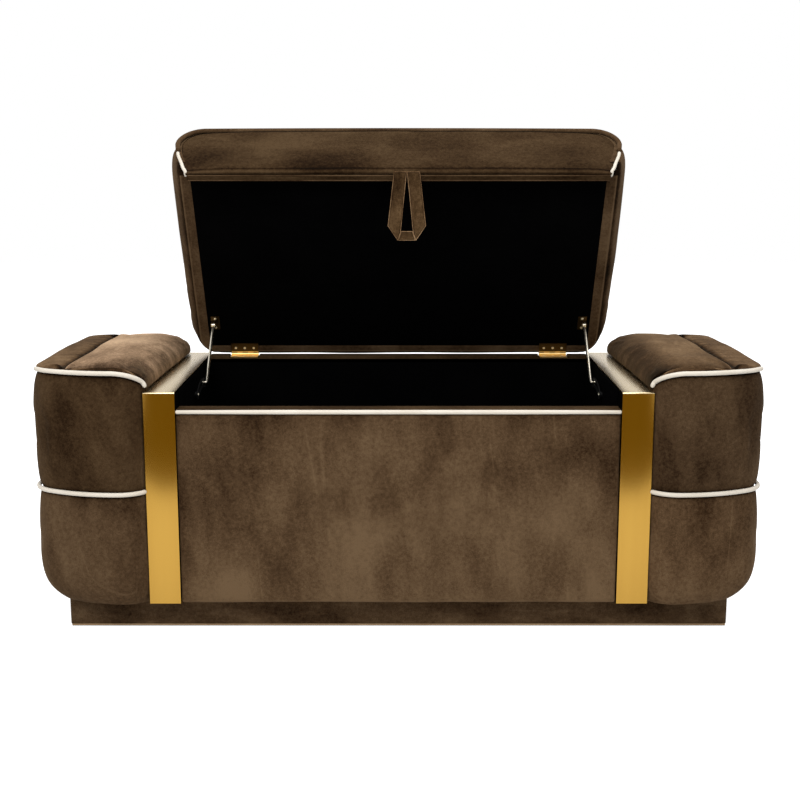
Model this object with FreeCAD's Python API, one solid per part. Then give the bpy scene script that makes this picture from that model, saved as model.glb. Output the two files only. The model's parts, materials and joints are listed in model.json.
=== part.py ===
"""Storage ottoman bench: a lidded chest between two padded arms, with metal bands.

Millimetres. The origin is the middle of the underside, on the floor.
+X is to the right, +Y to the back and +Z up. The lid is stored open.
"""
import FreeCAD, Part
import math
import os

Vec = FreeCAD.Vector

# Driving dimensions: the whole bench
overall_width = 1200.0
body_depth = 422.0
plinth_height = 55.0
body_height = 354.0
opening_width = 717.0

# Driving dimensions: boards, pads and coverings
chest_board = 18.0
arm_board = 15.0
velvet = 1.5
lining = 2.0
front_pad_thickness = 20.0
back_pad_thickness = 8.0
pad_edge_radius = 6.0
piping_diameter = 7.5
cord_sides = 6
cord_sagitta = 0.35
seat_clearance = 0.15
soft_clearance = 0.3

# Driving dimensions: plinth
plinth_front_recess = 43.0
plinth_side_recess = 47.0
plinth_cover_lift = 3.0
cross_rail_offset = 300.0

# Driving dimensions: metal bands
band_width = 51.0
band_thickness = 1.5
band_edge_radius = 1.2

# Driving dimensions: front and back rims of the well, below the band tops
front_rim_drop = 29.0
back_rim_drop = 5.8
side_lining_drop = 4.0

# Driving dimensions: arms
arm_bulge = 24.0
arm_nose_offset = 42.5
arm_corner_depth = 85.0
arm_back_corner_depth = 45.0
arm_rise = 32.0
arm_foam_side = 55.0
arm_foam_front = 26.0
belt_height = 190.0
belt_draw = 6.0
top_draw = 9.0
foot_draw_front = 18.0
foot_draw_side = 38.0
pad_levels = 5
foot_tuck_power = 9
belt_tuck_power = 6
seam_tuck_power = 3
piping_proud = 3.0
border_width = 57.0
border_front = 23.0
border_crown = 8.0
border_levels = 3
pillow_crown = 12.0
pillow_end_drop = 15.0
pillow_end_round = 40.0
pillow_end_levels = 4
pillow_overhang = 6.0
pillow_seam_drop = 6.0

# Driving dimensions: lid
lid_open_angle = 59.4
lid_overlap = 22.5
lid_height = 101.5
lid_crown = 10.0
lid_belly = 15.0
lid_end_belly = 6.0
lid_shoulder = 46.0
lid_shoulder_fullness = 0.8
lid_board_inset = 14.0
lid_rear_past_axis = 1.0
lid_rear_round = 38.0
lid_front_round = 50.0
lid_front_draw = 3.0
lid_front_crown = 2.0
lid_crown_reach = 62.0
lid_rear_drop = 26.0
lid_piping_turn = 23.0
lid_border_start = 25.0
lid_border_width = 24.0
lid_rear_border = 20.0
apron_thickness = 18.0
apron_side_clearance = 3.0
apron_rim_clearance = 1.0
welt_diameter = 7.0

# Driving dimensions: hinges
hinge_offset = 293.5
hinge_length = 52.0
hinge_leaf_width = 24.0
hinge_leaf = 1.5
hinge_barrel = 6.0
hinge_pin = 3.0
hinge_knuckles = 5
hinge_screw_reach = 13.2
hinge_screw_pitch = 17.0
hinge_back_setback = 4.2
hinge_clearance = 0.3
running_clearance = 0.05
screw_diameter = 5.0
screw_head_rise = 0.8

# Driving dimensions: lid stays, in distances ahead of and below the hinge axis
stay_pivot_reach = 73.0
stay_pivot_drop = 8.0
stay_pin_reach = 146.0
stay_pin_drop = 29.0
stay_closed_slope = 12.0
stay_rod = 5.0
stay_wall_gap = 9.5
stay_eye = 10.0
stay_eye_width = 5.6
stay_slide_pin = 4.4
stay_pivot_pin = 4.0
stay_bracket = 1.5
stay_bracket_length = 30.0
stay_bracket_width = 16.0
stay_screw_pitch = 21.0
stay_rivet_head = 7.0
stay_plate = 1.5
stay_plate_gap = 4.0
stay_slot_clearance = 1.2
stay_plate_margin = 5.0
stay_head = 9.0
stay_head_thickness = 2.0

# Driving dimensions: pull strap
strap_length = 116.0
strap_thickness = 3.5
strap_offset_x = 14.0
strap_top_width = 44.0
strap_widest = 65.0
strap_widest_at = 91.0
strap_foot_width = 31.0
strap_gap_from = 14.0
strap_gap_to = 100.0
strap_gap_width = 21.0
strap_gap_top_width = 1.5

# Levels and planes that the pieces share
piping_radius = piping_diameter / 2
base_z = plinth_height
band_top = base_z + body_height
front_y = -body_depth / 2
back_y = body_depth / 2
band_in = opening_width / 2
band_out = band_in + band_width
half_width = overall_width / 2
front_rim = band_top - front_rim_drop
back_rim = band_top - back_rim_drop
belt_z = base_z + belt_height
arm_top = band_top + arm_rise
well_floor = base_z + chest_board + lining
front_board_y = front_y + front_pad_thickness
well_front = front_board_y + chest_board + lining
back_board_y = back_y - back_pad_thickness - chest_board
well_back = back_board_y - lining
well_half = band_in - lining

parts = {}


def unit(vector):
    return Vec(vector) / vector.Length


def line(start, end):
    return Part.LineSegment(start, end).toShape()


def arc(start, middle, end):
    return Part.Arc(start, middle, end).toShape()


def round_arc(centre, start, end):
    """The shorter arc about a centre, from one point to another."""
    radius = (start - centre).Length
    middle = centre + unit((start - centre) + (end - centre)) * radius
    return arc(start, middle, end)


def box(x0, x1, y0, y1, z0, z1):
    return Part.makeBox(x1 - x0, y1 - y0, z1 - z0, Vec(x0, y0, z0))


def cylinder_x(x0, x1, y, z, diameter):
    return Part.makeCylinder(diameter / 2, x1 - x0, Vec(x0, y, z), Vec(1, 0, 0))


def prism(points, along):
    corners = [Vec(*point) for point in points]
    return Part.Face(Part.makePolygon(corners + corners[:1])).extrude(Vec(*along))


def mirrored(shape):
    return shape.mirror(Vec(0, 0, 0), Vec(1, 0, 0))


def both_sides(name, shape):
    parts["right_" + name] = shape
    parts["left_" + name] = mirrored(shape)


def group(shapes):
    return Part.makeCompound(shapes)


def path_stations(edges):
    """Points and directions along edges that meet tangent to each other, closer on tight arcs."""
    first = edges[0]
    stations = [(first.valueAt(first.FirstParameter), first.tangentAt(first.FirstParameter))]
    for edge in edges:
        steps = 1
        if isinstance(edge.Curve, Part.Circle):
            turn = edge.LastParameter - edge.FirstParameter
            steps = math.ceil(turn / (2 * math.acos(1 - cord_sagitta / edge.Curve.Radius)))
        for step in range(1, steps + 1):
            at = edge.FirstParameter + (edge.LastParameter - edge.FirstParameter) * step / steps
            stations.append((edge.valueAt(at), edge.tangentAt(at)))
    return stations


def tube(edges, radius):
    """A cord along edges that meet tangent to each other, with a few flat sides for a round."""
    turns = [2 * math.pi * (side + 0.5) / cord_sides for side in range(cord_sides)]
    across = Vec(1, 1, 0)
    sections = []
    for point, direction in path_stations(edges):
        across = unit(across - direction * across.dot(direction))
        over = direction.cross(across)
        corners = [point + (across * math.cos(turn) + over * math.sin(turn)) * radius for turn in turns]
        sections.append(Part.makePolygon(corners + corners[:1]))
    return Part.makeLoft(sections, True, True)


def rounded_path(points, radii):
    """Straight runs joined by tangent arcs, with one radius for each inner point."""
    edges = []
    start = points[0]
    for before, corner, after, radius in zip(points, points[1:], points[2:], radii):
        back = unit(before - corner)
        ahead = unit(after - corner)
        half_angle = back.getAngle(ahead) / 2
        reach = radius / math.tan(half_angle)
        centre = corner + unit(back + ahead) * (radius / math.sin(half_angle))
        entry = corner + back * reach
        leave = corner + ahead * reach
        edges.append(line(start, entry))
        edges.append(arc(entry, centre + unit(corner - centre) * radius, leave))
        start = leave
    edges.append(line(start, points[-1]))
    return edges


def make_plinth():
    half = half_width - plinth_side_recess
    front = front_y + plinth_front_recess
    back = -front
    core_half = half - velvet
    core_front = front + velvet
    inner_half = core_half - chest_board
    inner_front = core_front + chest_board
    parts["dust_cover"] = box(-core_half, core_half, core_front, -core_front, 0, velvet)
    parts["plinth_front_rail"] = box(-core_half, core_half, core_front, inner_front, velvet, base_z)
    parts["plinth_rear_rail"] = box(-core_half, core_half, -inner_front, -core_front, velvet, base_z)
    both_sides("plinth_end_rail", box(inner_half, core_half, inner_front, -inner_front, velvet, base_z))
    cross = box(cross_rail_offset - chest_board / 2, cross_rail_offset + chest_board / 2,
                inner_front, -inner_front, velvet, base_z)
    parts["plinth_cross_rails"] = group([cross, mirrored(cross)])
    cover = box(-half, half, front, back, plinth_cover_lift, base_z)
    parts["plinth_cover"] = cover.cut(box(-core_half, core_half, core_front, -core_front, 0, base_z))


def make_chest():
    board_back = back_y - back_pad_thickness
    parts["base_board"] = box(-band_in, band_in, front_board_y, board_back, base_z, base_z + chest_board)
    parts["front_board"] = box(-band_in, band_in, front_board_y, front_board_y + chest_board,
                               base_z + chest_board, front_rim - lining)
    parts["back_board"] = box(-band_in, band_in, back_board_y, board_back,
                              base_z + chest_board, back_rim - velvet)
    both_sides("side_panel", box(band_in, band_out, front_y + band_thickness, back_y - band_thickness,
                                 base_z, band_top - band_thickness))


def make_bands():
    """A strip of metal bent over the front, top and back of each side panel."""
    strip = box(band_in, band_out, front_y, back_y, base_z, band_top)
    strip = strip.cut(box(band_in, band_out, front_y + band_thickness, back_y - band_thickness,
                          base_z, band_top - band_thickness))
    bends = [edge for edge in strip.Edges
             if abs(edge.BoundBox.ZMin - band_top) < 1e-6
             and edge.BoundBox.XLength > band_width / 2
             and min(abs(edge.BoundBox.YMin - front_y), abs(edge.BoundBox.YMin - back_y)) < 1e-6]
    both_sides("band", strip.makeFillet(band_edge_radius, bends))


def panel_pad(shape, face_y):
    """Rounds the bottom and upright edges of a chest pad's outer face."""
    edges = [edge for edge in shape.Edges
             if abs(edge.BoundBox.YMin - face_y) < 1e-6
             and edge.BoundBox.YLength < 1e-6
             and (edge.BoundBox.ZLength > 1 or edge.BoundBox.ZMin < belt_z)]
    return shape.makeFillet(pad_edge_radius, edges)


def make_chest_pads():
    half = band_in - soft_clearance
    piping_seat = front_rim - piping_diameter
    lip_y = front_y + piping_diameter
    pad = prism([(-half, front_y, base_z), (-half, front_y, piping_seat), (-half, lip_y, piping_seat),
                 (-half, lip_y, front_rim), (-half, front_board_y, front_rim),
                 (-half, front_board_y, base_z)], (2 * half, 0, 0))
    parts["front_pad"] = panel_pad(pad, front_y)
    parts["front_piping"] = cylinder_x(-half, half, front_y + piping_radius,
                                       piping_seat + piping_radius, piping_diameter)
    pad_y = back_y - back_pad_thickness
    pad = prism([(-half, back_y, base_z), (-half, back_y, back_rim), (-half, well_back, back_rim),
                 (-half, well_back, back_rim - velvet), (-half, pad_y, back_rim - velvet),
                 (-half, pad_y, base_z)], (2 * half, 0, 0))
    parts["back_pad"] = panel_pad(pad, back_y)


def make_lining():
    parts["lining_floor"] = box(-band_in, band_in, front_board_y + chest_board, back_board_y,
                                base_z + chest_board, well_floor)
    front = prism([(-band_in, well_front, well_floor), (-band_in, well_front, front_rim),
                   (-band_in, front_board_y, front_rim), (-band_in, front_board_y, front_rim - lining),
                   (-band_in, well_front - lining, front_rim - lining),
                   (-band_in, well_front - lining, well_floor)], (2 * band_in, 0, 0))
    back = box(-band_in, band_in, well_back, back_board_y, well_floor, back_rim - velvet)
    side = box(well_half, band_in, well_front, well_back, well_floor, band_top - side_lining_drop)
    parts["lining_walls"] = group([front, back, side, mirrored(side)])


def arm_corner(z, draw_front, draw_side, end):
    """One corner of the arm's outline, at the front (-1) or back (1): a flat arc and a tighter one."""
    corner_depth = arm_corner_depth if end < 0 else arm_back_corner_depth
    reach = body_depth / 2 + arm_bulge
    nose = Vec(band_out + arm_nose_offset, end * (reach - draw_front), z)
    side = Vec(half_width - draw_side, end * (reach - corner_depth), z)
    wide = side.x - nose.x
    deep = abs(side.y - nose.y)
    diagonal = math.hypot(wide, deep)
    tight = (diagonal ** 2 - (wide - deep) * diagonal) / (2 * wide)
    flat = (diagonal ** 2 + (wide - deep) * diagonal) / (2 * deep)
    flat_centre = nose - Vec(0, end * flat, 0)
    tight_centre = side - Vec(tight, 0, 0)
    small, large = (tight_centre, flat_centre) if tight < flat else (flat_centre, tight_centre)
    meet = small + unit(small - large) * min(tight, flat)
    if end < 0:
        return side, [round_arc(flat_centre, nose, meet), round_arc(tight_centre, meet, side)]
    return side, [round_arc(tight_centre, side, meet), round_arc(flat_centre, meet, nose)]


def arm_edges(z, draw_front, draw_side):
    """The arm's outline in plan from nose to nose, round the outer side, as arcs and a line."""
    front_side, front = arm_corner(z, draw_front, draw_side, -1)
    back_side, back = arm_corner(z, draw_front, draw_side, 1)
    return front + [line(front_side, back_side)] + back


def arm_shoulder_edge(z, draw_front, end):
    """The arc that brings the outline from the band to the nose, at the front (-1) or back (1)."""
    x = band_out + soft_clearance
    nose = Vec(band_out + arm_nose_offset, end * (body_depth / 2 + arm_bulge - draw_front), z)
    root = Vec(x, end * (body_depth / 2 - draw_front), z)
    across = nose.x - root.x
    radius = (across ** 2 + arm_bulge ** 2) / (2 * arm_bulge)
    centre = nose - Vec(0, end * radius, 0)
    if end < 0:
        return round_arc(centre, root, nose)
    return round_arc(centre, nose, root)


def arm_outline(z, draw_front, draw_side):
    front = arm_shoulder_edge(z, draw_front, -1)
    back = arm_shoulder_edge(z, draw_front, 1)
    root_y = body_depth / 2 - draw_front
    x = band_out + soft_clearance
    inner = line(Vec(x, root_y, z), Vec(x, -root_y, z))
    return Part.Wire([front] + arm_edges(z, draw_front, draw_side) + [back, inner])


def make_arm_frame():
    core = arm_core()
    low, high = core.BoundBox.YMin, core.BoundBox.YMax
    outer = core.BoundBox.XMax
    both_sides("arm_outer_board", box(outer - arm_board, outer, low, high, base_z, band_top))
    front = box(band_out, outer - arm_board, low, low + arm_board, base_z + arm_board, band_top - arm_board)
    back = box(band_out, outer - arm_board, high - arm_board, high, base_z + arm_board, band_top - arm_board)
    both_sides("arm_end_boards", group([front, back]))
    bottom = box(band_out, outer - arm_board, low, high, base_z, base_z + arm_board)
    top = box(band_out, outer - arm_board, low, high, band_top - arm_board, band_top)
    both_sides("arm_shelf_boards", group([bottom, top]))


def arm_core():
    """The space that the arm's boards take up inside its pads."""
    depth = body_depth / 2 - arm_foam_front
    return box(band_out, half_width - arm_foam_side, -depth, depth, base_z, band_top)


def belt_path():
    draw = piping_proud
    return ([arm_shoulder_edge(belt_z, draw, -1)] + arm_edges(belt_z, draw, draw)
            + [arm_shoulder_edge(belt_z, draw, 1)])


def top_path():
    """Along the arm's top seam, and down at both ends over the rolled inner edge to the band."""
    draw = top_draw - piping_proud
    edges = arm_edges(arm_top, draw, draw)
    radius = math.hypot(arm_bulge, arm_rise)

    def roll(end):
        nose = Vec(band_out + arm_nose_offset, end * (body_depth / 2 + arm_bulge - draw), arm_top)
        centre = nose + Vec(0, -end * arm_bulge, -arm_rise)
        root = centre - Vec(radius, 0, 0)
        if end < 0:
            return round_arc(centre, root, nose)
        return round_arc(centre, nose, root)

    return [roll(-1)] + edges + [roll(1)]


def arm_roll_off():
    """The space above the arm's rolled inner edge."""
    centre_x = band_out + arm_nose_offset
    radius = math.hypot(arm_bulge, arm_rise)
    far = body_depth
    half_turn = math.sqrt(0.5)
    low = Vec(centre_x - radius, -far, band_top)
    middle = Vec(centre_x - radius * half_turn, -far, band_top + arm_rise * half_turn)
    high = Vec(centre_x, -far, arm_top)
    above = arm_top + arm_rise
    corner = Vec(band_in, -far, above)
    edges = [arc(low, middle, high), line(high, Vec(high.x, -far, above)),
             line(Vec(high.x, -far, above), corner), line(corner, Vec(band_in, -far, band_top)),
             line(Vec(band_in, -far, band_top), low)]
    return Part.Face(Part.Wire(edges)).extrude(Vec(0, 2 * far, 0))


def pillow_section(y, rise, overhang):
    """One cross-section of the arm's pillow: crown, rolled inner edge and flat seat."""
    seat = band_top + soft_clearance
    tuck_x = half_width - top_draw - border_width
    crest = arm_top - pillow_seam_drop + rise
    shoulder_x = band_out + arm_nose_offset
    over_x = band_out - overhang
    tuck_low = Vec(tuck_x, y, seat)
    tuck_high = Vec(tuck_x, y, crest - pillow_crown / 2)
    crown = Vec((tuck_x + shoulder_x) / 2, y, crest + pillow_crown / 3)
    shoulder = Vec(shoulder_x, y, crest - pillow_crown / 6)
    roll = Vec(over_x + arm_nose_offset / 4, y, (crest + seat) / 2 + arm_rise / 4)
    edge = Vec(over_x, y, seat + arm_rise / 3)
    under = Vec(over_x + arm_rise / 10, y, seat + arm_rise / 10)
    root = Vec(over_x + arm_rise / 3, y, seat)
    return Part.Wire([line(tuck_low, tuck_high), arc(tuck_high, crown, shoulder),
                      arc(shoulder, roll, edge), arc(edge, under, root), line(root, tuck_low)])


def make_pillow():
    end_y = body_depth / 2 + arm_bulge - border_front
    turns = [math.pi / 2 * step / pillow_end_levels for step in range(pillow_end_levels + 1)]
    stations = [-end_y + pillow_end_round * (1 - math.cos(turn)) for turn in turns]
    stations += [-y for y in reversed(stations)]
    sections = []
    for y in stations:
        share = min((end_y - abs(y)) / pillow_end_round, 1.0)
        fullness = math.sqrt(1 - (1 - share) ** 2)
        rise = pillow_crown - pillow_end_drop * (1 - fullness)
        overhang = pillow_overhang * fullness - pillow_seam_drop * (1 - fullness)
        sections.append(pillow_section(y, rise, overhang))
    return Part.makeLoft(sections, True, True)


def make_arm_pads():
    lower_sections = []
    upper_sections = []
    for step in range(pad_levels + 1):
        share = (1 - math.cos(math.pi * step / pad_levels)) / 2
        foot = (1 - share) ** foot_tuck_power
        seam = belt_draw * share ** belt_tuck_power
        lower_sections.append(arm_outline(base_z + belt_height * share,
                                          foot_draw_front * foot + seam, foot_draw_side * foot + seam))
        seam = (top_draw if share > 0.5 else belt_draw) * abs(2 * share - 1) ** seam_tuck_power
        upper_sections.append(arm_outline(belt_z + (arm_top - belt_z) * share, seam, seam))
    core = arm_core()
    belt_groove = tube(belt_path(), piping_radius + seat_clearance)
    top_groove = tube(top_path(), piping_radius + seat_clearance)
    end_y = body_depth / 2 + arm_bulge - border_front + soft_clearance
    tuck_x = half_width - top_draw - border_width + soft_clearance
    pocket = box(band_in, tuck_x, -end_y, end_y, band_top, arm_top + arm_rise)
    lower = Part.makeLoft(lower_sections, True, True).cut(core).cut(belt_groove)
    upper = Part.makeLoft(upper_sections, True, True).cut(core).cut(belt_groove)
    upper = upper.cut(arm_roll_off()).cut(pocket).cut(top_groove)
    both_sides("arm_lower_pad", lower)
    both_sides("arm_upper_pad", upper)
    border_sections = []
    for step in range(border_levels + 1):
        turn = math.pi / 2 * step / border_levels
        draw = top_draw + 2 * border_crown * (1 - math.cos(turn))
        border_sections.append(arm_outline(arm_top + border_crown * math.sin(turn), draw, draw))
    border = Part.makeLoft(border_sections, True, True).cut(arm_roll_off()).cut(pocket).cut(top_groove)
    both_sides("arm_border", largest(border))
    both_sides("arm_pillow", make_pillow().cut(top_groove))
    behind_band = box(0, band_out + soft_clearance, -body_depth, body_depth, 0, arm_top + arm_rise)
    both_sides("arm_belt_piping", tube(belt_path(), piping_radius).cut(behind_band))
    both_sides("arm_top_piping", tube(top_path(), piping_radius).cut(behind_band))


def largest(shape):
    """The main solid, without offcuts that a groove leaves along an edge."""
    return max(shape.Solids, key=lambda solid: solid.Volume)


# The hinge axis, and planes of the lid when it is shut
axis_y = back_y - hinge_back_setback
axis_z = back_rim + hinge_clearance + hinge_barrel / 2
underside = axis_z + hinge_barrel / 2 + hinge_clearance
cushion_z = underside + velvet
lid_half = band_in + lid_overlap
lid_rear = axis_y + lid_rear_past_axis
apron_low = front_rim + apron_rim_clearance
apron_half = band_in - apron_side_clearance
lid_lining_half = lid_half - lid_border_width
apron_back = front_y + apron_thickness


def opened(shape):
    """Turns a piece of the shut lid to where it stands open."""
    turned = shape.copy()
    turned.rotate(Vec(0, axis_y, axis_z), Vec(-1, 0, 0), lid_open_angle)
    return turned


def roundness(distance, reach):
    """0 at an edge, rising along a quarter ellipse to 1 at the given distance from it."""
    share = min(distance / reach, 1.0)
    return math.sqrt(1 - (1 - share) ** 2)


def lid_shape(y):
    """Half width, belly and top height of the lid's cushion at one station along its depth."""
    from_front = y - front_y
    from_rear = lid_rear - y
    front = roundness(from_front, lid_front_round)
    rear = roundness(from_rear, lid_rear_round)
    half = lid_half - lid_front_draw * (1 - front) - lid_rear_round * (1 - rear)
    crown = lid_crown * roundness(from_front, lid_crown_reach) * roundness(from_rear, lid_crown_reach)
    top = underside + lid_height - lid_rear_drop * (1 - rear)
    belly = lid_end_belly + (lid_belly - lid_end_belly) * front * rear
    return half, belly, top, crown + lid_front_crown


def lid_section_points(y):
    """Key points up the right-hand side of one cross-section of the lid's cushion."""
    half, belly, top, crown = lid_shape(y)
    shoulder_z = top - lid_shoulder
    foot = Vec(half, y, cushion_z)
    side = Vec(half + belly, y, (cushion_z + shoulder_z) / 2 + belly)
    shoulder_low = Vec(half + belly * lid_shoulder_fullness, y, shoulder_z)
    shoulder_high = shoulder_low + Vec(-lid_shoulder, 0, lid_shoulder)
    knee = on_shoulder(shoulder_low, 45)
    crest = Vec(0, y, top + crown)
    return foot, side, shoulder_low, knee, shoulder_high, crest


def on_shoulder(shoulder_low, degrees):
    """A point up the round of the right-hand shoulder."""
    turn = math.radians(degrees)
    return shoulder_low + Vec(-lid_shoulder * (1 - math.cos(turn)), 0, lid_shoulder * math.sin(turn))


def lid_seam(y):
    """Where the piping lies on the right-hand shoulder at one station."""
    return on_shoulder(lid_section_points(y)[2], lid_piping_turn)


def lid_section(y):
    foot, side, low, knee, high, crest = lid_section_points(y)

    def left(point):
        return Vec(-point.x, point.y, point.z)

    return Part.Wire([line(left(foot), foot), arc(foot, side, low), arc(low, knee, high),
                      arc(high, crest, left(high)), arc(left(high), left(knee), left(low)),
                      arc(left(low), left(side), left(foot))])


def lid_stations():
    """Stations along the lid's depth, closer together where its ends round off."""
    front = [front_y + reach for reach in (0, lid_front_round / 8, lid_front_round / 3, lid_crown_reach)]
    rear = [lid_rear - reach for reach in (lid_crown_reach, lid_rear_round, lid_rear_round / 3,
                                           lid_rear_round / 12, 0)]
    return front + [(front[-1] + rear[0]) / 2] + rear


def lid_piping_path():
    """Up the apron's end and the right front corner, back along the shoulder and down the rear corner."""
    front = lid_section_points(front_y)
    rear = lid_section_points(lid_rear)
    sunk = Vec(0, piping_radius / 2, 0)
    apron_end = Vec(apron_half - piping_radius, front_y, 0) + sunk
    points = [apron_end + Vec(0, 0, apron_low + piping_radius),
              apron_end + Vec(0, 0, cushion_z + piping_diameter),
              front[2] + sunk,
              lid_seam(front_y) + sunk,
              lid_seam(front_y + lid_crown_reach),
              lid_seam(lid_rear - lid_crown_reach),
              lid_seam(lid_rear),
              rear[0] + Vec(0, 0, piping_radius)]
    radii = [lid_shoulder / 2, piping_diameter, piping_diameter, lid_shoulder, lid_shoulder, piping_diameter]
    return rounded_path(points, radii)


def lid_welt_path():
    """Along the top edge of the front panel, between the two corner pipings."""
    sunk = Vec(0, welt_diameter / 4, 0)
    low = lid_section_points(front_y)[2] + sunk
    first_turn = lid_piping_turn + math.degrees(1.2 * piping_diameter / lid_shoulder)
    start, middle, high = [on_shoulder(low, turn) for turn in (first_turn, (first_turn + 90) / 2, 90)]

    def left(point):
        return Vec(-point.x, point.y, point.z)

    return [arc(left(start), left(middle), left(high)), line(left(high), high), arc(high, middle, start)]


def make_lid():
    board_half = lid_half - lid_board_inset
    board = box(-board_half, board_half, front_y + lid_board_inset, lid_rear - lid_board_inset,
                cushion_z, cushion_z + arm_board)
    parts["lid_board"] = opened(board)
    cushion = Part.makeLoft([lid_section(y) for y in lid_stations()], True, True).cut(board)
    piping = tube(lid_piping_path(), piping_radius)
    groove = tube(lid_piping_path(), piping_radius + seat_clearance)
    apron = box(-apron_half, apron_half, front_y, apron_back, apron_low, cushion_z)
    for cut in (groove, mirrored(groove), tube(lid_welt_path(), welt_diameter / 2 + seat_clearance)):
        cushion = cushion.cut(cut)
        apron = apron.cut(cut)
    parts["lid_cushion"] = opened(largest(cushion))
    parts["lid_apron"] = opened(largest(apron))
    parts["lid_front_welt"] = opened(tube(lid_welt_path(), welt_diameter / 2))
    parts["right_lid_piping"] = opened(piping)
    parts["left_lid_piping"] = opened(mirrored(piping))
    lining_space = box(-lid_lining_half, lid_lining_half, apron_back, lid_rear - lid_rear_border,
                       underside, cushion_z)
    parts["lid_lining"] = opened(lining_space)
    border = box(-lid_half, lid_half, front_y + lid_border_start, lid_rear, underside, cushion_z)
    corners = [edge for edge in border.Edges
               if abs(edge.BoundBox.YMax - lid_rear) < 1e-6 and edge.BoundBox.ZLength > velvet / 2
               and edge.BoundBox.XLength < 1e-6]
    border = border.makeFillet(lid_rear_round, corners)
    parts["lid_border"] = opened(border.cut(lining_space))


def knuckle_span(index):
    pitch = hinge_length / hinge_knuckles
    start = hinge_offset - hinge_length / 2 + pitch * index
    return start + hinge_clearance / 2, start + pitch - hinge_clearance / 2


def hinge_screw_places():
    return [hinge_offset + hinge_screw_pitch * step for step in (-1, 0, 1)]


def hinge_leaf_shape(low, first_knuckle):
    """A leaf whose plate starts at height low, with every second knuckle from the first given."""
    plate_end = axis_y - hinge_barrel / 2 - hinge_clearance
    leaf = box(hinge_offset - hinge_length / 2, hinge_offset + hinge_length / 2,
               axis_y - hinge_leaf_width, plate_end, low, low + hinge_leaf)
    for index in range(first_knuckle, hinge_knuckles, 2):
        x0, x1 = knuckle_span(index)
        leaf = leaf.fuse(box(x0, x1, plate_end, axis_y, low, low + hinge_leaf))
        leaf = leaf.fuse(cylinder_x(x0, x1, axis_y, axis_z, hinge_barrel))
    bore = hinge_pin + 2 * running_clearance
    leaf = leaf.cut(cylinder_x(hinge_offset - hinge_length, hinge_offset + hinge_length, axis_y, axis_z, bore))
    return leaf.removeSplitter()


def screw_head(centre, axis):
    """A low head with a few flat sides for a round, standing on its centre along the axis."""
    side = unit(axis.cross(Vec(1, 1, 1)))
    turns = [360 * step / cord_sides for step in range(cord_sides)]
    corners = [centre + FreeCAD.Rotation(axis, turn).multVec(side) * (screw_diameter / 2) for turn in turns]
    return Part.Face(Part.makePolygon(corners + corners[:1])).extrude(axis * screw_head_rise)


def make_hinges():
    both_sides("hinge_base_leaf", hinge_leaf_shape(back_rim, 0))
    lid_leaf = hinge_leaf_shape(underside - hinge_leaf, 1)
    parts["right_hinge_lid_leaf"] = opened(lid_leaf)
    parts["left_hinge_lid_leaf"] = opened(mirrored(lid_leaf))
    pin = cylinder_x(hinge_offset - hinge_length / 2, hinge_offset + hinge_length / 2,
                     axis_y, axis_z, hinge_pin)
    parts["hinge_pins"] = group([pin, mirrored(pin)])
    screw_y = axis_y - hinge_screw_reach
    base = [screw_head(Vec(x, screw_y, back_rim + hinge_leaf), Vec(0, 0, 1)) for x in hinge_screw_places()]
    lid = [screw_head(Vec(x, screw_y, underside - hinge_leaf), Vec(0, 0, -1)) for x in hinge_screw_places()]
    return base, lid


# The lid stays, measured ahead of and above the hinge axis
stay_x = well_half - stay_wall_gap
stay_plate_x = well_half - stay_plate_gap - stay_plate
stay_pivot_rise = underside - stay_pivot_drop - axis_z
stay_lid_turn = math.radians(lid_open_angle)


def stay_pivot(turn):
    """The pivot on the lid, with the lid turned open by an angle in radians."""
    ahead = stay_pivot_reach * math.cos(turn) - stay_pivot_rise * math.sin(turn)
    above = stay_pivot_reach * math.sin(turn) + stay_pivot_rise * math.cos(turn)
    return Vec(stay_x, axis_y - ahead, axis_z + above)


stay_rest_pin = Vec(stay_x, axis_y - stay_pin_reach, axis_z - stay_pin_drop)
stay_length = (stay_rest_pin - stay_pivot(stay_lid_turn)).Length
stay_open_slope = math.asin((stay_pivot(stay_lid_turn).z - stay_rest_pin.z) / stay_length)


def stay_pin(turn):
    """The pin in the slot: the rod's slope changes in step with the lid's angle."""
    slope = math.radians(stay_closed_slope)
    slope += (stay_open_slope - slope) * turn / stay_lid_turn
    return stay_pivot(turn) + Vec(0, -stay_length * math.cos(slope), -stay_length * math.sin(slope))


def slot_face(half_height, past_ends):
    """A slot round the pin's path, which is close to an arc through its ends and middle."""
    start, middle, end = stay_pin(stay_lid_turn), stay_pin(stay_lid_turn / 2), stay_pin(0)
    circle = arc(start, middle, end).Curve
    centre, radius = circle.Center, circle.Radius

    def angle(point):
        return math.atan2(point.z - centre.z, centre.y - point.y)

    def at(turn, reach):
        return Vec(stay_x, centre.y - reach * math.cos(turn), centre.z + reach * math.sin(turn))

    sign = 1 if angle(end) > angle(start) else -1
    first = angle(start) - sign * past_ends / radius
    last = angle(end) + sign * past_ends / radius
    mid = (first + last) / 2
    outer, inner = radius + half_height, radius - half_height
    first_tip = at(first - sign * half_height / radius, radius)
    last_tip = at(last + sign * half_height / radius, radius)
    edges = [arc(at(first, outer), at(mid, outer), at(last, outer)),
             arc(at(last, outer), last_tip, at(last, inner)),
             arc(at(last, inner), at(mid, inner), at(first, inner)),
             arc(at(first, inner), first_tip, at(first, outer))]
    return Part.Face(Part.Wire(edges)), [at(first, radius), at(last, radius)]


def moved_x(shape, x):
    placed = shape.copy()
    placed.translate(Vec(x - stay_x, 0, 0))
    return placed


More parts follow.
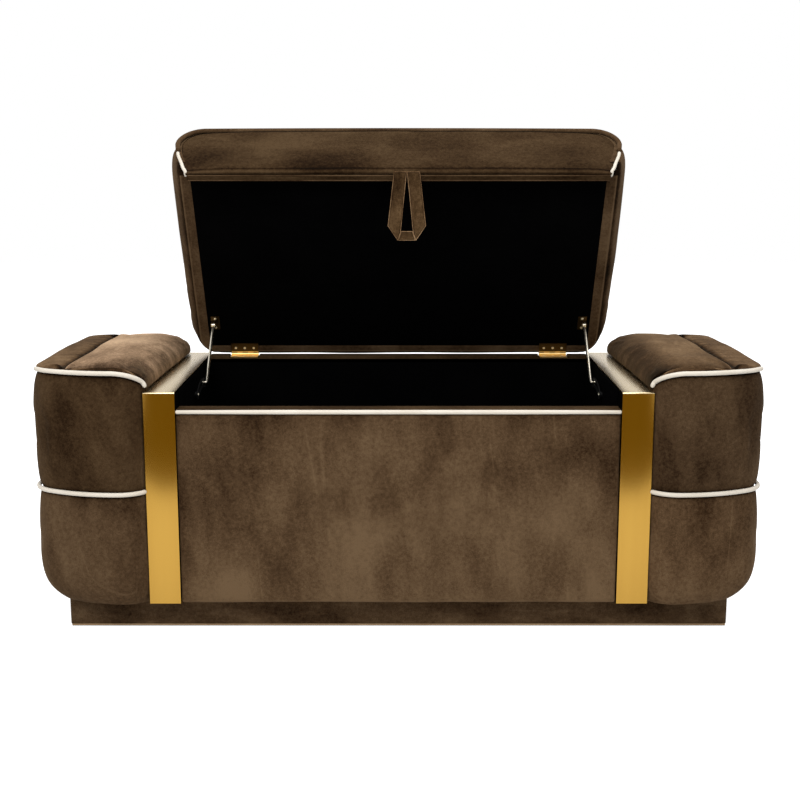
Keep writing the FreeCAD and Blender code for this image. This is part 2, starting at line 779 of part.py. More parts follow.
def make_stay_rail():
    """A slotted plate held off the side wall, on which the rod's pin slides."""
    slot_half = stay_slide_pin / 2 + stay_slot_clearance
    slot = slot_face(slot_half, 0)[0]
    outline, ends = slot_face(slot_half + stay_plate_margin, slot_half + stay_head)
    rail = moved_x(outline, stay_plate_x).extrude(Vec(stay_plate, 0, 0))
    rail = rail.cut(moved_x(slot, stay_plate_x).extrude(Vec(stay_plate, 0, 0)))
    heads = []
    for end in ends:
        rail = rail.fuse(cylinder_x(stay_plate_x + stay_plate, well_half, end.y, end.z, stay_head))
        heads.append(screw_head(Vec(stay_plate_x, end.y, end.z), Vec(-1, 0, 0)))
    both_sides("stay_rail", rail.removeSplitter())
    return heads


def make_stay_rod():
    """A round rod with a flat eye at the lid and a headed pin in the slot."""
    pivot = stay_pivot(stay_lid_turn)
    pin = stay_rest_pin
    eye_half = stay_eye_width / 2
    direction = unit(pin - pivot)
    rod_start = stay_eye / 2 - stay_rod / 4
    rod = Part.makeCylinder(stay_rod / 2, stay_length - rod_start, pivot + direction * rod_start, direction)
    rod = rod.fuse(cylinder_x(stay_x - eye_half, stay_x + eye_half, pivot.y, pivot.z, stay_eye))
    head_x = stay_plate_x + stay_plate + hinge_clearance
    rod = rod.fuse(cylinder_x(stay_x, head_x, pin.y, pin.z, stay_slide_pin))
    rod = rod.fuse(cylinder_x(head_x, head_x + stay_head_thickness, pin.y, pin.z, stay_head))
    bore = stay_pivot_pin + 2 * running_clearance
    rod = rod.cut(cylinder_x(stay_x - stay_eye, stay_x + stay_eye, pivot.y, pivot.z, bore))
    both_sides("stay_rod", rod.removeSplitter())


def make_stay_bracket():
    """An angle under the lid whose ear carries the rivet that the rod's eye turns on."""
    shut = stay_pivot(0)
    plate_low = underside - stay_bracket
    ear_x = stay_x + stay_eye_width / 2 + hinge_clearance
    ear_half = stay_eye / 2
    outer_x = ear_x + stay_bracket
    bracket = box(outer_x - stay_bracket_width, outer_x, shut.y - stay_bracket_length / 2,
                  shut.y + stay_bracket_length / 2, plate_low, underside)
    bracket = bracket.fuse(box(ear_x, outer_x, shut.y - ear_half, shut.y + ear_half, shut.z, underside))
    bracket = bracket.fuse(cylinder_x(ear_x, outer_x, shut.y, shut.z, stay_eye))
    rivet_x = stay_x - stay_eye_width / 2 - hinge_clearance
    bracket = bracket.fuse(cylinder_x(rivet_x, ear_x, shut.y, shut.z, stay_pivot_pin))
    bracket = bracket.fuse(cylinder_x(rivet_x - stay_bracket, rivet_x, shut.y, shut.z, stay_rivet_head))
    bracket = bracket.removeSplitter()
    parts["right_stay_bracket"] = opened(bracket)
    parts["left_stay_bracket"] = opened(mirrored(bracket))
    screw_x = outer_x - stay_bracket_width / 2
    return [screw_head(Vec(screw_x, shut.y + step * stay_screw_pitch / 2, plate_low), Vec(0, 0, -1))
            for step in (-1, 1)]


def make_strap():
    """A folded ribbon whose two legs spread to a blunt foot, hanging from the apron's lower edge."""
    shut = Vec(strap_offset_x, front_y - strap_thickness / 2 - soft_clearance, apron_low - strap_thickness / 2)
    turn = FreeCAD.Rotation(Vec(-1, 0, 0), lid_open_angle)
    hung = Vec(0, axis_y, axis_z) + turn.multVec(shut - Vec(0, axis_y, axis_z))
    y = hung.y - strap_thickness / 2

    def across(half, drop):
        return (hung.x + half, y, hung.z - drop)

    halves = [(strap_top_width / 2, 0), (strap_widest / 2, strap_widest_at), (strap_foot_width / 2, strap_length)]
    outline = [across(half, drop) for half, drop in halves]
    outline += [across(-half, drop) for half, drop in reversed(halves)]
    gap = [across(-strap_gap_top_width / 2, strap_gap_from), across(strap_gap_top_width / 2, strap_gap_from),
           across(strap_gap_width / 2, strap_gap_to), across(-strap_gap_width / 2, strap_gap_to)]
    through = (0, strap_thickness, 0)
    strap = prism(outline, through).cut(prism(gap, through))
    strap = strap.fuse(cylinder_x(hung.x - strap_top_width / 2, hung.x + strap_top_width / 2,
                                  hung.y, hung.z, strap_thickness))
    parts["pull_strap"] = strap.removeSplitter()
    return hung


def run():
    os.makedirs("parts", exist_ok=True)
    make_plinth()
    make_chest()
    make_bands()
    make_chest_pads()
    make_lining()
    make_arm_frame()
    make_arm_pads()
    make_lid()
    base_screws, lid_screws = make_hinges()
    base_screws += make_stay_rail()
    make_stay_rod()
    lid_screws += make_stay_bracket()
    parts["base_screws"] = group(base_screws + [mirrored(screw) for screw in base_screws])
    parts["lid_screws"] = opened(group(lid_screws + [mirrored(screw) for screw in lid_screws]))
    hung = make_strap()
    for name, shape in parts.items():
        shape.exportStep("parts/" + name + ".step")
    print("hinge axis", axis_y, axis_z)
    print("stay pivot", stay_pivot(stay_lid_turn))
    print("stay turn", lid_open_angle + math.degrees(stay_open_slope) - stay_closed_slope)
    print("strap pivot", hung)


run()
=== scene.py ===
# %% [markdown]
# # A storage bench with its lid open
# The boards, hinges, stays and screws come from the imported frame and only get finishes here. Everything soft
# is made in this file: the velvet pads and pillows of the arms, the front and back panels, the plinth's
# skirt, the lid with its front panel and border, the piping, the lining and the pull strap. The two metal
# bands are modelled again, because their bends and edges have to be round to catch the light.
# Every length is in metres and every piece is built in place, so its object stays at the origin.

# %% Load the frame
import bpy
import bmesh
import json
import math
from mathutils import Matrix, Vector, kdtree, noise


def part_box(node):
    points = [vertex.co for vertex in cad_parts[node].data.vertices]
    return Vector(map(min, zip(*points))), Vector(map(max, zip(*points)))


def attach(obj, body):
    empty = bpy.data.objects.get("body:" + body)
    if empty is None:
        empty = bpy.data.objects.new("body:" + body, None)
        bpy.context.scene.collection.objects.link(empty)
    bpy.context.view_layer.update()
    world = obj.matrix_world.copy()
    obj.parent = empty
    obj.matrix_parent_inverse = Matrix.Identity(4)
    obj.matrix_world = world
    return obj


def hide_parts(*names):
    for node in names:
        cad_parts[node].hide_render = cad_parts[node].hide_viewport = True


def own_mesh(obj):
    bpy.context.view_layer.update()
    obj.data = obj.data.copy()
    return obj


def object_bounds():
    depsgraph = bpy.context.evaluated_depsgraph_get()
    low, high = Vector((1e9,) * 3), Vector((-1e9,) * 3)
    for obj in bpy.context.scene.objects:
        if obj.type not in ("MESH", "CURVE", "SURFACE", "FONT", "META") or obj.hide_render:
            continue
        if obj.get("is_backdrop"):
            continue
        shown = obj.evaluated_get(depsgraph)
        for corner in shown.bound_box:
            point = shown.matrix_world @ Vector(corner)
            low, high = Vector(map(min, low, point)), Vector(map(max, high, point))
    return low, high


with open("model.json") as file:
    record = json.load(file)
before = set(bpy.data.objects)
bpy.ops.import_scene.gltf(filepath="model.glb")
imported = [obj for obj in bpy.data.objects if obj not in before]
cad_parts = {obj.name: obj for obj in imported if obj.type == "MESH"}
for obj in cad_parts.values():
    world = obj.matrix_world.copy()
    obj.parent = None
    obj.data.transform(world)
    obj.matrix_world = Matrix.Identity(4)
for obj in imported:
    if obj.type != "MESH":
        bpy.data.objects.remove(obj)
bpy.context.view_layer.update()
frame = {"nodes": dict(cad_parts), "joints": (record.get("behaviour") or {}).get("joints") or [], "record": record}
scene = bpy.context.scene
scene.view_settings.view_transform = "Standard"

# %% [markdown]
# ## Sizes that the pieces share
# The soft pieces fit round the metal bands and the boards, so their sizes are read from the frame's boxes.
# Only what the frame can't say, such as how deep a seam is pulled in, is written here. The lid's pieces are
# built shut, and open_turn brings them to where the lid stands open.

# %% Shared sizes
band_low, band_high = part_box("right_band")
band_in, band_out = band_low.x, band_high.x
front_y, back_y = band_low.y, band_high.y
base_z, band_top = band_low.z, band_high.z
panel_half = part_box("front_pad")[1].x
front_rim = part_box("front_pad")[1].z
back_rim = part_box("back_pad")[1].z
piping_radius = 0.00375
joints = {joint["name"]: joint for joint in frame["joints"]}
hinge = Vector(joints["lid_hinge"]["pos_m"])
open_angle = math.radians(-joints["lid_hinge"]["range_deg"][0])
open_turn = (Matrix.Translation(hinge) @ Matrix.Rotation(open_angle, 4, Vector((-1, 0, 0)))
             @ Matrix.Translation(-hinge))
print("hinge at", [round(v, 4) for v in hinge], "open by", round(math.degrees(open_angle), 1), "degrees")

# %% [markdown]
# ## Camera
# The camera stands where the photograph's did: in front, a little above the arms, looking down by about
# eleven degrees. These values come from a fit to the corners of the two bands.

# %% Camera
camera_place = (0.0024, -2.2594, 0.7898)
camera_pitch = 10.86
camera_data = bpy.data.cameras.new("camera")
camera_data.sensor_width = 36.0
camera_data.lens = 58.69
camera = bpy.data.objects.new("camera", camera_data)
camera.location = camera_place
camera.rotation_euler = (math.radians(90 - camera_pitch), 0, 0)
scene.collection.objects.link(camera)
scene.camera = camera
print("camera at", camera_place, "looking down by", camera_pitch, "degrees")


# %% [markdown]
# ## Node helpers
# A material is a tree of nodes. These helpers add a node, set or link its sockets, start a node group and do
# the sums and noises that come back, so that each finish below reads as a short list of what it is made of.

# %% Node helpers
def add_node(tree, kind, **settings):
    """A new node, with its sockets and properties set by name."""
    node = tree.nodes.new(kind)
    for name, value in settings.items():
        if name in node.inputs:
            node.inputs[name].default_value = value
        else:
            setattr(node, name, value)
    return node


def set_sockets(node, values):
    for label, value in values.items():
        node.inputs[label].default_value = value


def feed(tree, value, socket):
    """Sets a socket to a number, or links another node's output to it."""
    if isinstance(value, (int, float)):
        socket.default_value = value
    else:
        tree.links.new(value, socket)


def start_group(name, inputs, outputs):
    """A shader node group with a Vector, float inputs with their usual values, and float outputs."""
    tree = bpy.data.node_groups.new(name, "ShaderNodeTree")
    tree.interface.new_socket("Vector", in_out="INPUT", socket_type="NodeSocketVector")
    for label, value in inputs.items():
        socket = tree.interface.new_socket(label, in_out="INPUT", socket_type="NodeSocketFloat")
        socket.default_value = value
    for label in outputs:
        tree.interface.new_socket(label, in_out="OUTPUT", socket_type="NodeSocketFloat")
    return tree, tree.nodes.new("NodeGroupInput"), tree.nodes.new("NodeGroupOutput")


# %% Sums, noises and mappings
def math_node(tree, operation, *values):
    """A Math node whose inputs are sockets or numbers. Returns its output."""
    node = add_node(tree, "ShaderNodeMath", operation=operation)
    for socket, value in zip(node.inputs, values):
        feed(tree, value, socket)
    return node.outputs[0]


def add_up(tree, first, *others):
    """The sum of sockets and numbers."""
    for other in others:
        first = math_node(tree, "ADD", first, other)
    return first


def spread(tree, value, low, high):
    """Stretches the part of a value from low to high over 0 to 1."""
    node = add_node(tree, "ShaderNodeMapRange", interpolation_type="SMOOTHSTEP")
    set_sockets(node, {"From Min": low, "From Max": high})
    tree.links.new(value, node.inputs["Value"])
    return node.outputs["Result"]


def noise_node(tree, vector, scale, detail=3.0, roughness=0.55, distortion=0.0):
    node = add_node(tree, "ShaderNodeTexNoise", Detail=detail, Roughness=roughness, Distortion=distortion)
    tree.links.new(vector, node.inputs["Vector"])
    feed(tree, scale, node.inputs["Scale"])
    return node.outputs["Fac"]


def mapped(tree, vector, turn=(0, 0, 0), scale=(1, 1, 1), shift=(0, 0, 0)):
    """The coordinates after a Mapping node has turned, stretched and shifted them."""
    node = add_node(tree, "ShaderNodeMapping", Location=shift, Rotation=turn, Scale=scale)
    tree.links.new(vector, node.inputs["Vector"])
    return node.outputs["Vector"]


# %% [markdown]
# ## Shared effects
# Velvet changes tone where its pile was brushed one way or the other, in soft patches with feathered edges,
# and over that it has a fine mottle. It could be painted, but a picture would stretch over the pads. Here it
# comes from noise at several sizes in one group, which every velvet uses with values of its own. Brushed
# metal and woven lining are groups too.

# %% Effect: brushed pile
nap, nap_in, nap_out = start_group("brushed_pile", {"Patch": 8.0, "Mottle": 170.0, "Pile": 700.0},
                                   ["Tone", "Height"])
spot = nap_in.outputs["Vector"]
patch = nap_in.outputs["Patch"]
brushed = mapped(nap, spot, scale=(1, 1, 0.36))
wide = noise_node(nap, spot, patch, 1.5, 0.4, 0.3)
stroke = noise_node(nap, brushed, math_node(nap, "MULTIPLY", patch, 2.2), 2.0, 0.45, 0.25)
feather = noise_node(nap, brushed, math_node(nap, "MULTIPLY", patch, 5.0), 3.0, 0.55, 0.4)
mottle = noise_node(nap, spot, nap_in.outputs["Mottle"], 2.0, 0.6)
pile = noise_node(nap, spot, nap_in.outputs["Pile"], 1.0, 0.5)

# %% [markdown]
# Where velvet has been folded, thin creases stay in its pile. They are the edges of a cell pattern, stretched
# along one direction and shown only here and there. All the parts then add up to a tone round one half, and
# to a height for the bump.

# %% Effect: creases in the pile, and the sums
slanted = mapped(nap, spot, turn=(0.1, 1.2, 0.25), scale=(11, 11, 1.3))
cells = add_node(nap, "ShaderNodeTexVoronoi", feature="DISTANCE_TO_EDGE", Scale=1.0)
nap.links.new(slanted, cells.inputs["Vector"])
thin = math_node(nap, "SUBTRACT", 1.0, spread(nap, cells.outputs["Distance"], 0.0, 0.022))
seldom = spread(nap, noise_node(nap, spot, 11.0, 1.0), 0.54, 0.66)
crease = math_node(nap, "MULTIPLY", thin, seldom)


def around_half(value, weight):
    """A value that swings round 0.5, as a swing round 0 of the given weight."""
    return math_node(nap, "MULTIPLY", math_node(nap, "SUBTRACT", value, 0.5), weight)


tone = add_up(nap, around_half(wide, 0.75), around_half(spread(nap, stroke, 0.38, 0.62), 0.13),
              around_half(spread(nap, feather, 0.34, 0.64), 0.09), around_half(mottle, 0.45),
              around_half(pile, 0.40), math_node(nap, "MULTIPLY", crease, 0.10), 0.5)
height = add_up(nap, around_half(stroke, 0.6), around_half(mottle, 0.6), around_half(pile, 0.5),
                math_node(nap, "MULTIPLY", crease, -0.5))
nap.links.new(tone, nap_out.inputs["Tone"])
nap.links.new(height, nap_out.inputs["Height"])
print(nap.name, len(nap.nodes), "nodes")

# %% Effect: brushed metal
brush, brush_in, brush_out = start_group("brushed_metal", {"Fine": 1.0}, ["Line", "Cloud"])
streaks = noise_node(brush, brush_in.outputs["Vector"], brush_in.outputs["Fine"], 2.0, 0.5)
clouds = noise_node(brush, brush_in.outputs["Vector"], 0.02, 2.0, 0.5)
brush.links.new(streaks, brush_out.inputs["Line"])
brush.links.new(clouds, brush_out.inputs["Cloud"])
print(brush.name, len(brush.nodes), "nodes")

# %% Effect: plain weave
weave, weave_in, weave_out = start_group("plain_weave", {"Threads": 900.0}, ["Thread", "Dust"])
threads = []
for turn in ((0, 0, 0), (0, math.pi / 2, 0)):
    wave = add_node(weave, "ShaderNodeTexWave", Distortion=0.6, Detail=1.0)
    weave.links.new(mapped(weave, weave_in.outputs["Vector"], turn), wave.inputs["Vector"])
    weave.links.new(weave_in.outputs["Threads"], wave.inputs["Scale"])
    threads.append(wave.outputs["Fac"])
weave.links.new(math_node(weave, "MAXIMUM", *threads), weave_out.inputs["Thread"])
weave.links.new(noise_node(weave, weave_in.outputs["Vector"], 14.0, 4.0), weave_out.inputs["Dust"])
print(weave.name, len(weave.nodes), "nodes")


# %% [markdown]
# ## Finishes
# Each finish is one Principled shader. What varies over the surface comes from an effect's group, and what is
# the same all over, such as the velvet's sheen, is set on the shader's own socket.

# %% Finish helpers
def start_finish(name, group, scale=(1, 1, 1), turn=(0, 0, 0), shift=(0, 0, 0), **values):
    """A material with a Principled shader and one effect group on Object coordinates."""
    material = bpy.data.materials.new(name)
    material.use_nodes = True
    tree = material.node_tree
    place = add_node(tree, "ShaderNodeTexCoord")
    effect = add_node(tree, "ShaderNodeGroup", node_tree=group)
    tree.links.new(mapped(tree, place.outputs["Object"], turn, scale, shift), effect.inputs["Vector"])
    set_sockets(effect, values)
    return material, tree, tree.nodes["Principled BSDF"], effect


def set_colour(tree, shader, tone, stops):
    """Colours the shader along a ramp, given as (place, colour) pairs."""
    ramp = add_node(tree, "ShaderNodeValToRGB")
    elements = ramp.color_ramp.elements
    while len(elements) < len(stops):
        elements.new(0.5)
    for element, (place, colour) in zip(elements, stops):
        element.position = place
        element.color = (*colour, 1)
    tree.links.new(tone, ramp.inputs["Fac"])
    tree.links.new(ramp.outputs["Color"], shader.inputs["Base Color"])


def add_bump(tree, shader, height, strength, distance):
    bump = add_node(tree, "ShaderNodeBump", Strength=strength, Distance=distance)
    tree.links.new(height, bump.inputs["Height"])
    tree.links.new(bump.outputs["Normal"], shader.inputs["Normal"])


# %% [markdown]
# ### Velvet
# The bench is covered in brown velvet that looks different on every panel, partly because its pile lies
# another way on each and partly from the light. So every panel has a velvet of its own: the same group, turned
# and shifted for the pile, with its own darkest and lightest colour, which paint light and shade: lit copies
# for the tops, shaded ones for the upper pads, the lid and the plinth, and unlike ones for the left and
# right arms. Painted shade and highlights beside seams, creases and folds, with the pillows' streaks, are
# stored in the meshes as painted_light_and_streaks and are added to the group's tone.

# %% Velvet helper
velvet_dark = (0.030, 0.0150, 0.0062)
velvet_mid = (0.076, 0.0440, 0.0215)
velvet_light = (0.135, 0.0850, 0.0450)
velvet_feel = {"Roughness": 0.9, "Specular IOR Level": 0.04, "Sheen Roughness": 0.42,
               "Sheen Tint": (0.84, 0.58, 0.34, 1)}


def make_velvet(name, patch, turn, shift, dark, light, swing=1.0, sheen=0.10, wash=0.0):
    """Brown velvet. dark and light scale its colours, swing its contrast, and wash greys it."""
    material, tree, shader, effect = start_finish(name, nap, turn=turn, shift=shift, Patch=patch)

    def tint(colour, gain):
        grey = sum(colour) / 3
        return tuple((channel + (grey - channel) * wash) * gain for channel in colour)

    # The mesh's painted light and shade, with the pillows' streaks, is read here and added to the tone.
    seam = add_node(tree, "ShaderNodeAttribute", attribute_name="painted_light_and_streaks")
    away = math_node(tree, "SUBTRACT", effect.outputs["Tone"], 0.5)
    tone = add_up(tree, math_node(tree, "MULTIPLY", away, swing), seam.outputs["Fac"], 0.5)
    # The ramp's near-black first stop is reached only where painted shade is added.
    set_colour(tree, shader, tone, [(0.0, tint(velvet_dark, 0.12)), (0.24, tint(velvet_dark, dark)),
                                    (0.5, tint(velvet_mid, (dark + light) / 2)),
                                    (0.82, tint(velvet_light, light))])
    set_sockets(shader, velvet_feel)
    shader.inputs["Sheen Weight"].default_value = sheen
    add_bump(tree, shader, effect.outputs["Height"], 0.35, 0.0012)
    return material


# %% Velvets of the chest and the arms
quarter = math.pi / 2
lower_nap = (7.0, (0.2, 0.1, 0), (0.9, 0.2, 0.4))
upper_nap = (7.0, (0.2, 0.2, 0), (0.1, 0.8, 0.4))
# Their dark and light gains paint light and shade: the pillows and border are lit copies, the upper pads and
# plinth shaded ones, and the left and right arms differ.
panel_velvet = make_velvet("panel_velvet", 7.5, (0, 0.1, 0), (0.3, 0, 0.1), 0.96, 0.98)
left_lower_velvet = make_velvet("left_lower_velvet", *lower_nap, 0.92, 0.88)
right_lower_velvet = make_velvet("right_lower_velvet", *lower_nap, 1.12, 1.10)
left_upper_velvet = make_velvet("left_upper_velvet", *upper_nap, 0.60, 0.60, sheen=0.05, wash=-0.08)
right_upper_velvet = make_velvet("right_upper_velvet", *upper_nap, 0.75, 0.78, sheen=0.05)
border_velvet = make_velvet("border_velvet", 9.0, (quarter, 0, 0.2), (0.4, 0.2, 0.9), 1.1, 1.4,
                            sheen=0.08)
pillow_velvet = make_velvet("pillow_velvet", 8.0, (quarter, 0, 1.45), (0.2, 0.7, 0), 0.9, 1.5,
                            swing=0.9)
lit_pillow_velvet = make_velvet("lit_pillow_velvet", 8.0, (quarter, 0, 1.45), (0.6, 0.2, 0), 2.3, 4.6,
                                  swing=0.9, sheen=0.18, wash=0.2)
plinth_velvet = make_velvet("plinth_velvet", 12.0, (0, quarter, 0), (0.1, 0.5, 0.3), 0.75, 0.8,
                            sheen=0.06)
print(len(bpy.data.materials), "materials so far")

# %% Velvets of the lid and the strap
upright = (0, 0, 0)
# The lid's velvet is a shaded copy, painted shade, and the strap's turned rim a lit one, a painted highlight.
lid_velvet = make_velvet("lid_velvet", 7.0, (0, quarter, 0), (0.5, 0.1, 0.6), 0.43, 0.46,
                         swing=1.2, sheen=0.03, wash=-0.12)
welt_velvet = make_velvet("welt_velvet", 12.0, (0, quarter, 0), (0.2, 0.4, 0.6), 0.95, 0.95,
                          swing=0.8, sheen=0.06)
edge_velvet = make_velvet("edge_velvet", 10.0, upright, (0.8, 0.1, 0.6), 0.85, 0.85)
strap_velvet = make_velvet("strap_velvet", 18.0, upright, (0.4, 0.3, 0.2), 0.55, 0.85,
                           sheen=0.03, wash=-0.12)
lit_fold_velvet = make_velvet("lit_fold_velvet", 18.0, upright, (0.7, 0.3, 0.2), 2.0, 2.2, swing=1.2)
stitch_velvet = make_velvet("stitch_velvet", 18.0, upright, (0.1, 0.3, 0.2), 0.12, 0.15, sheen=0.0)
print(len(bpy.data.materials), "materials so far")


# %% [markdown]
# ### Piping, lining and boards
# The piping is cream cloth round a cord, the lining is black cloth and the boards are plywood. All three are
# plain: their colour follows one output of a group and their bump another, so one function makes them.

# %% Piping, lining and board finishes
def make_plain(name, group, tone, stops, height, bump, rough, specular, scale=(1, 1, 1), **values):
    """A plain finish. tone and height name the outputs of its group, bump is a strength and a distance."""
    material, tree, shader, effect = start_finish(name, group, scale, **values)
    set_colour(tree, shader, effect.outputs[tone], stops)
    set_sockets(shader, {"Roughness": rough, "Specular IOR Level": specular})
    add_bump(tree, shader, effect.outputs[height], *bump)
    return material


cream_stops = [(0.3, (0.62, 0.555, 0.46)), (0.7, (0.70, 0.645, 0.56))]
black_stops = [(0.3, (0.0005, 0.0005, 0.0006)), (0.75, (0.0011, 0.0011, 0.0012))]
ply_stops = [(0.25, (0.38, 0.24, 0.12)), (0.75, (0.55, 0.38, 0.21))]
piping_cream = make_plain("piping_cream", weave, "Dust", cream_stops, "Thread", (0.12, 0.0003), 0.5, 0.35,
                          Threads=1400.0)
lining_black = make_plain("lining_black", weave, "Dust", black_stops, "Thread", (0.25, 0.0004), 1.0, 0.02,
                          Threads=700.0)
board_ply = make_plain("board_ply", nap, "Tone", ply_stops, "Height", (0.15, 0.0005), 0.7, 0.5,
                       scale=(1, 6, 6), Patch=5.0, Mottle=60.0)
print("plain finishes:", piping_cream.name, lining_black.name, board_ply.name)


# %% [markdown]
# ### Metals
# The bands and hinges are brass, the stays steel on black rails. Brushed metal reflects in streaks, which a
# stretched noise gives: its direction is the direction of brushing. The lid's hinge leaf is painted bright
# round its pin, a painted highlight, and dark beyond it, painted shade, so its colour follows the distance
# from the pin. The bands' tops are painted a paler brass, a painted reflection.

# %% Metal helper
def cloud_tone(tree, effect):
    return effect.outputs["Cloud"]


def pin_distance(tree, effect):
    """How far a point lies from the hinge's pin, in centimetres."""
    place = add_node(tree, "ShaderNodeSeparateXYZ")
    tree.links.new(add_node(tree, "ShaderNodeTexCoord").outputs["Object"], place.inputs[0])
    across = math_node(tree, "SUBTRACT", place.outputs["Y"], hinge.y)
    above = math_node(tree, "SUBTRACT", place.outputs["Z"], hinge.z)
    squares = [math_node(tree, "MULTIPLY", side, side) for side in (across, above)]
    return math_node(tree, "MULTIPLY", math_node(tree, "SQRT", add_up(tree, *squares)), 100)


def make_metal(name, brushing, low, high, rough, bump, tone_of=cloud_tone, between=(0.3, 0.7)):
    """A brushed metal between two colours. Fine lines vary its roughness and give it a slight bump."""
    material, tree, shader, effect = start_finish(name, brush, brushing)
    set_colour(tree, shader, tone_of(tree, effect), list(zip(between, (low, high))))
    shader.inputs["Metallic"].default_value = 1.0
    rough_range = add_node(tree, "ShaderNodeMapRange")
    set_sockets(rough_range, {"To Min": rough[0], "To Max": rough[1]})
    tree.links.new(effect.outputs["Line"], rough_range.inputs["Value"])
    tree.links.new(rough_range.outputs["Result"], shader.inputs["Roughness"])
    add_bump(tree, shader, effect.outputs["Line"], bump, 0.0002)
    return material


# %% Metal finishes
upright_lines, hinge_lines = (1500, 25, 25), (60, 900, 900)
rod_lines, no_lines = (900, 60, 60), (300, 300, 300)
band_brass = make_metal("band_brass", upright_lines, (0.49, 0.280, 0.055), (0.52, 0.305, 0.062),
                        (0.20, 0.23), 0.02)
# The bands' tops: a paler brass, a painted reflection of the pale surround.
top_brass = make_metal("top_brass", upright_lines, (0.60, 0.475, 0.28), (0.66, 0.53, 0.33),
                       (0.24, 0.30), 0.02)
hinge_brass = make_metal("hinge_brass", hinge_lines, (0.66, 0.45, 0.17), (0.80, 0.58, 0.26),
                         (0.22, 0.42), 0.08)
dark_brass = make_metal("dark_brass", hinge_lines, (0.05, 0.032, 0.014), (0.09, 0.058, 0.026),
                        (0.35, 0.5), 0.08)
# The lid's hinge leaf: a painted highlight round the pin and painted shade beyond it.
leaf_brass = make_metal("leaf_brass", hinge_lines, (0.80, 0.58, 0.26), (0.07, 0.045, 0.020),
                        (0.3, 0.45), 0.08, tone_of=pin_distance, between=(0.40, 0.50))
rod_steel = make_metal("rod_steel", rod_lines, (0.72, 0.66, 0.54), (0.80, 0.74, 0.62), (0.20, 0.35), 0.05)
screw_steel = make_metal("screw_steel", no_lines, (0.86, 0.78, 0.60), (0.92, 0.86, 0.70), (0.5, 0.65), 0.05)
rail_black = make_metal("rail_black", no_lines, (0.004, 0.004, 0.004), (0.008, 0.008, 0.008),
                        (0.5, 0.65), 0.05)
paint_feel = {"Metallic": 0.0, "Specular IOR Level": 0.08}
set_sockets(rail_black.node_tree.nodes["Principled BSDF"], paint_feel)
print(len(bpy.data.materials), "materials in all")


# %% [markdown]
# ## Piece helpers
# Every piece is a mesh object. These helpers make one, select it alone, go into edit mode with the wanted
# faces or edges, and apply a modifier, because an operator acts on whatever is selected.

# %% Piece helpers
def new_object(name, data):
    piece = bpy.data.objects.new(name, data)
    scene.collection.objects.link(piece)
    return piece


def new_piece(name, points, faces):
    mesh = bpy.data.meshes.new(name)
    mesh.from_pydata([tuple(point) for point in points], [], faces)
    return new_object(name, mesh)


def pick_only(piece):
    bpy.ops.object.select_all(action="DESELECT")
    piece.select_set(True)
    bpy.context.view_layer.objects.active = piece


def edit_all(piece):
    """Goes into edit mode with the whole mesh selected."""
    pick_only(piece)
    bpy.ops.object.mode_set(mode="EDIT")
    bpy.ops.mesh.select_all(action="SELECT")


def leave_edit():
    bpy.ops.object.mode_set(mode="OBJECT")


def choose(piece, kind, wanted):
    """Goes into edit mode with only the wanted faces or edges selected."""
    pick_only(piece)
    bpy.ops.object.mode_set(mode="EDIT")
    bpy.ops.mesh.select_mode(type=kind)
    bpy.ops.mesh.select_all(action="DESELECT")
    leave_edit()
    for element in piece.data.polygons if kind == "FACE" else piece.data.edges:
        element.select = wanted(element)
    bpy.ops.object.mode_set(mode="EDIT")


def paint_selected(piece, index):
    """Gives the selected faces the piece's material of that number."""
    piece.active_material_index = index
    bpy.ops.object.material_slot_assign()


# %% Modifiers and normals
def apply_modifier(piece, kind, **settings):
    pick_only(piece)
    modifier = piece.modifiers.new(kind.lower(), kind)
    for name, value in settings.items():
        setattr(modifier, name, value)
    bpy.ops.object.modifier_apply(modifier=modifier.name)


def subdivide_once(piece):
    apply_modifier(piece, "SUBSURF", levels=1, render_levels=1, use_limit_surface=False)


def tidy_normals(piece):
    """Makes the faces of a closed mesh point outwards."""
    shell = bmesh.new()
    shell.from_mesh(piece.data)
    bmesh.ops.recalc_face_normals(shell, faces=shell.faces)
    shell.to_mesh(piece.data)
    shell.free()


def thicken(piece, thickness, offset=-1):
    """Gives a sheet its thickness."""
    apply_modifier(piece, "SOLIDIFY", thickness=thickness, offset=offset)
    tidy_normals(piece)


def both_sides(piece):
    """The piece for the right and its mirror image for the left, with a mesh of its own, and their sides."""
    left = new_object(piece.name.replace("right", "left"), piece.data.copy())
    left.data.transform(Matrix.Scale(-1, 4, Vector((1, 0, 0))))
    left.data.flip_normals()
    return (piece, "right_"), (left, "left_")


# %% Declaring and dressing a piece
def declare(piece, body, slot_name, *nodes, fill=None):
    """Attaches a piece to the body it rides on and hides the nodes it stands for. slot_name and fill are not used.
    """
    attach(piece, body)
    if nodes:
        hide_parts(*nodes)
    print(piece.name, len(piece.data.polygons), "faces")


def dress(piece, body, material, slot_name, *nodes, fill=None):
    piece.data.materials.clear()
    piece.data.materials.append(material)
    pick_only(piece)
    bpy.ops.object.shade_smooth()
    declare(piece, body, slot_name, *nodes, fill=fill)


# %% [markdown]
# ## Soft shapes
# A pad is a stack of rings: each ring is the pad's outline at one level, and faces join each ring to the
# next. That keeps rows of faces along the seams, so the seams stay crisp, where a remesh would blur them. A
# stack is closed at both ends with rings that shrink to a point. A flat soft piece is a sheet through rows.

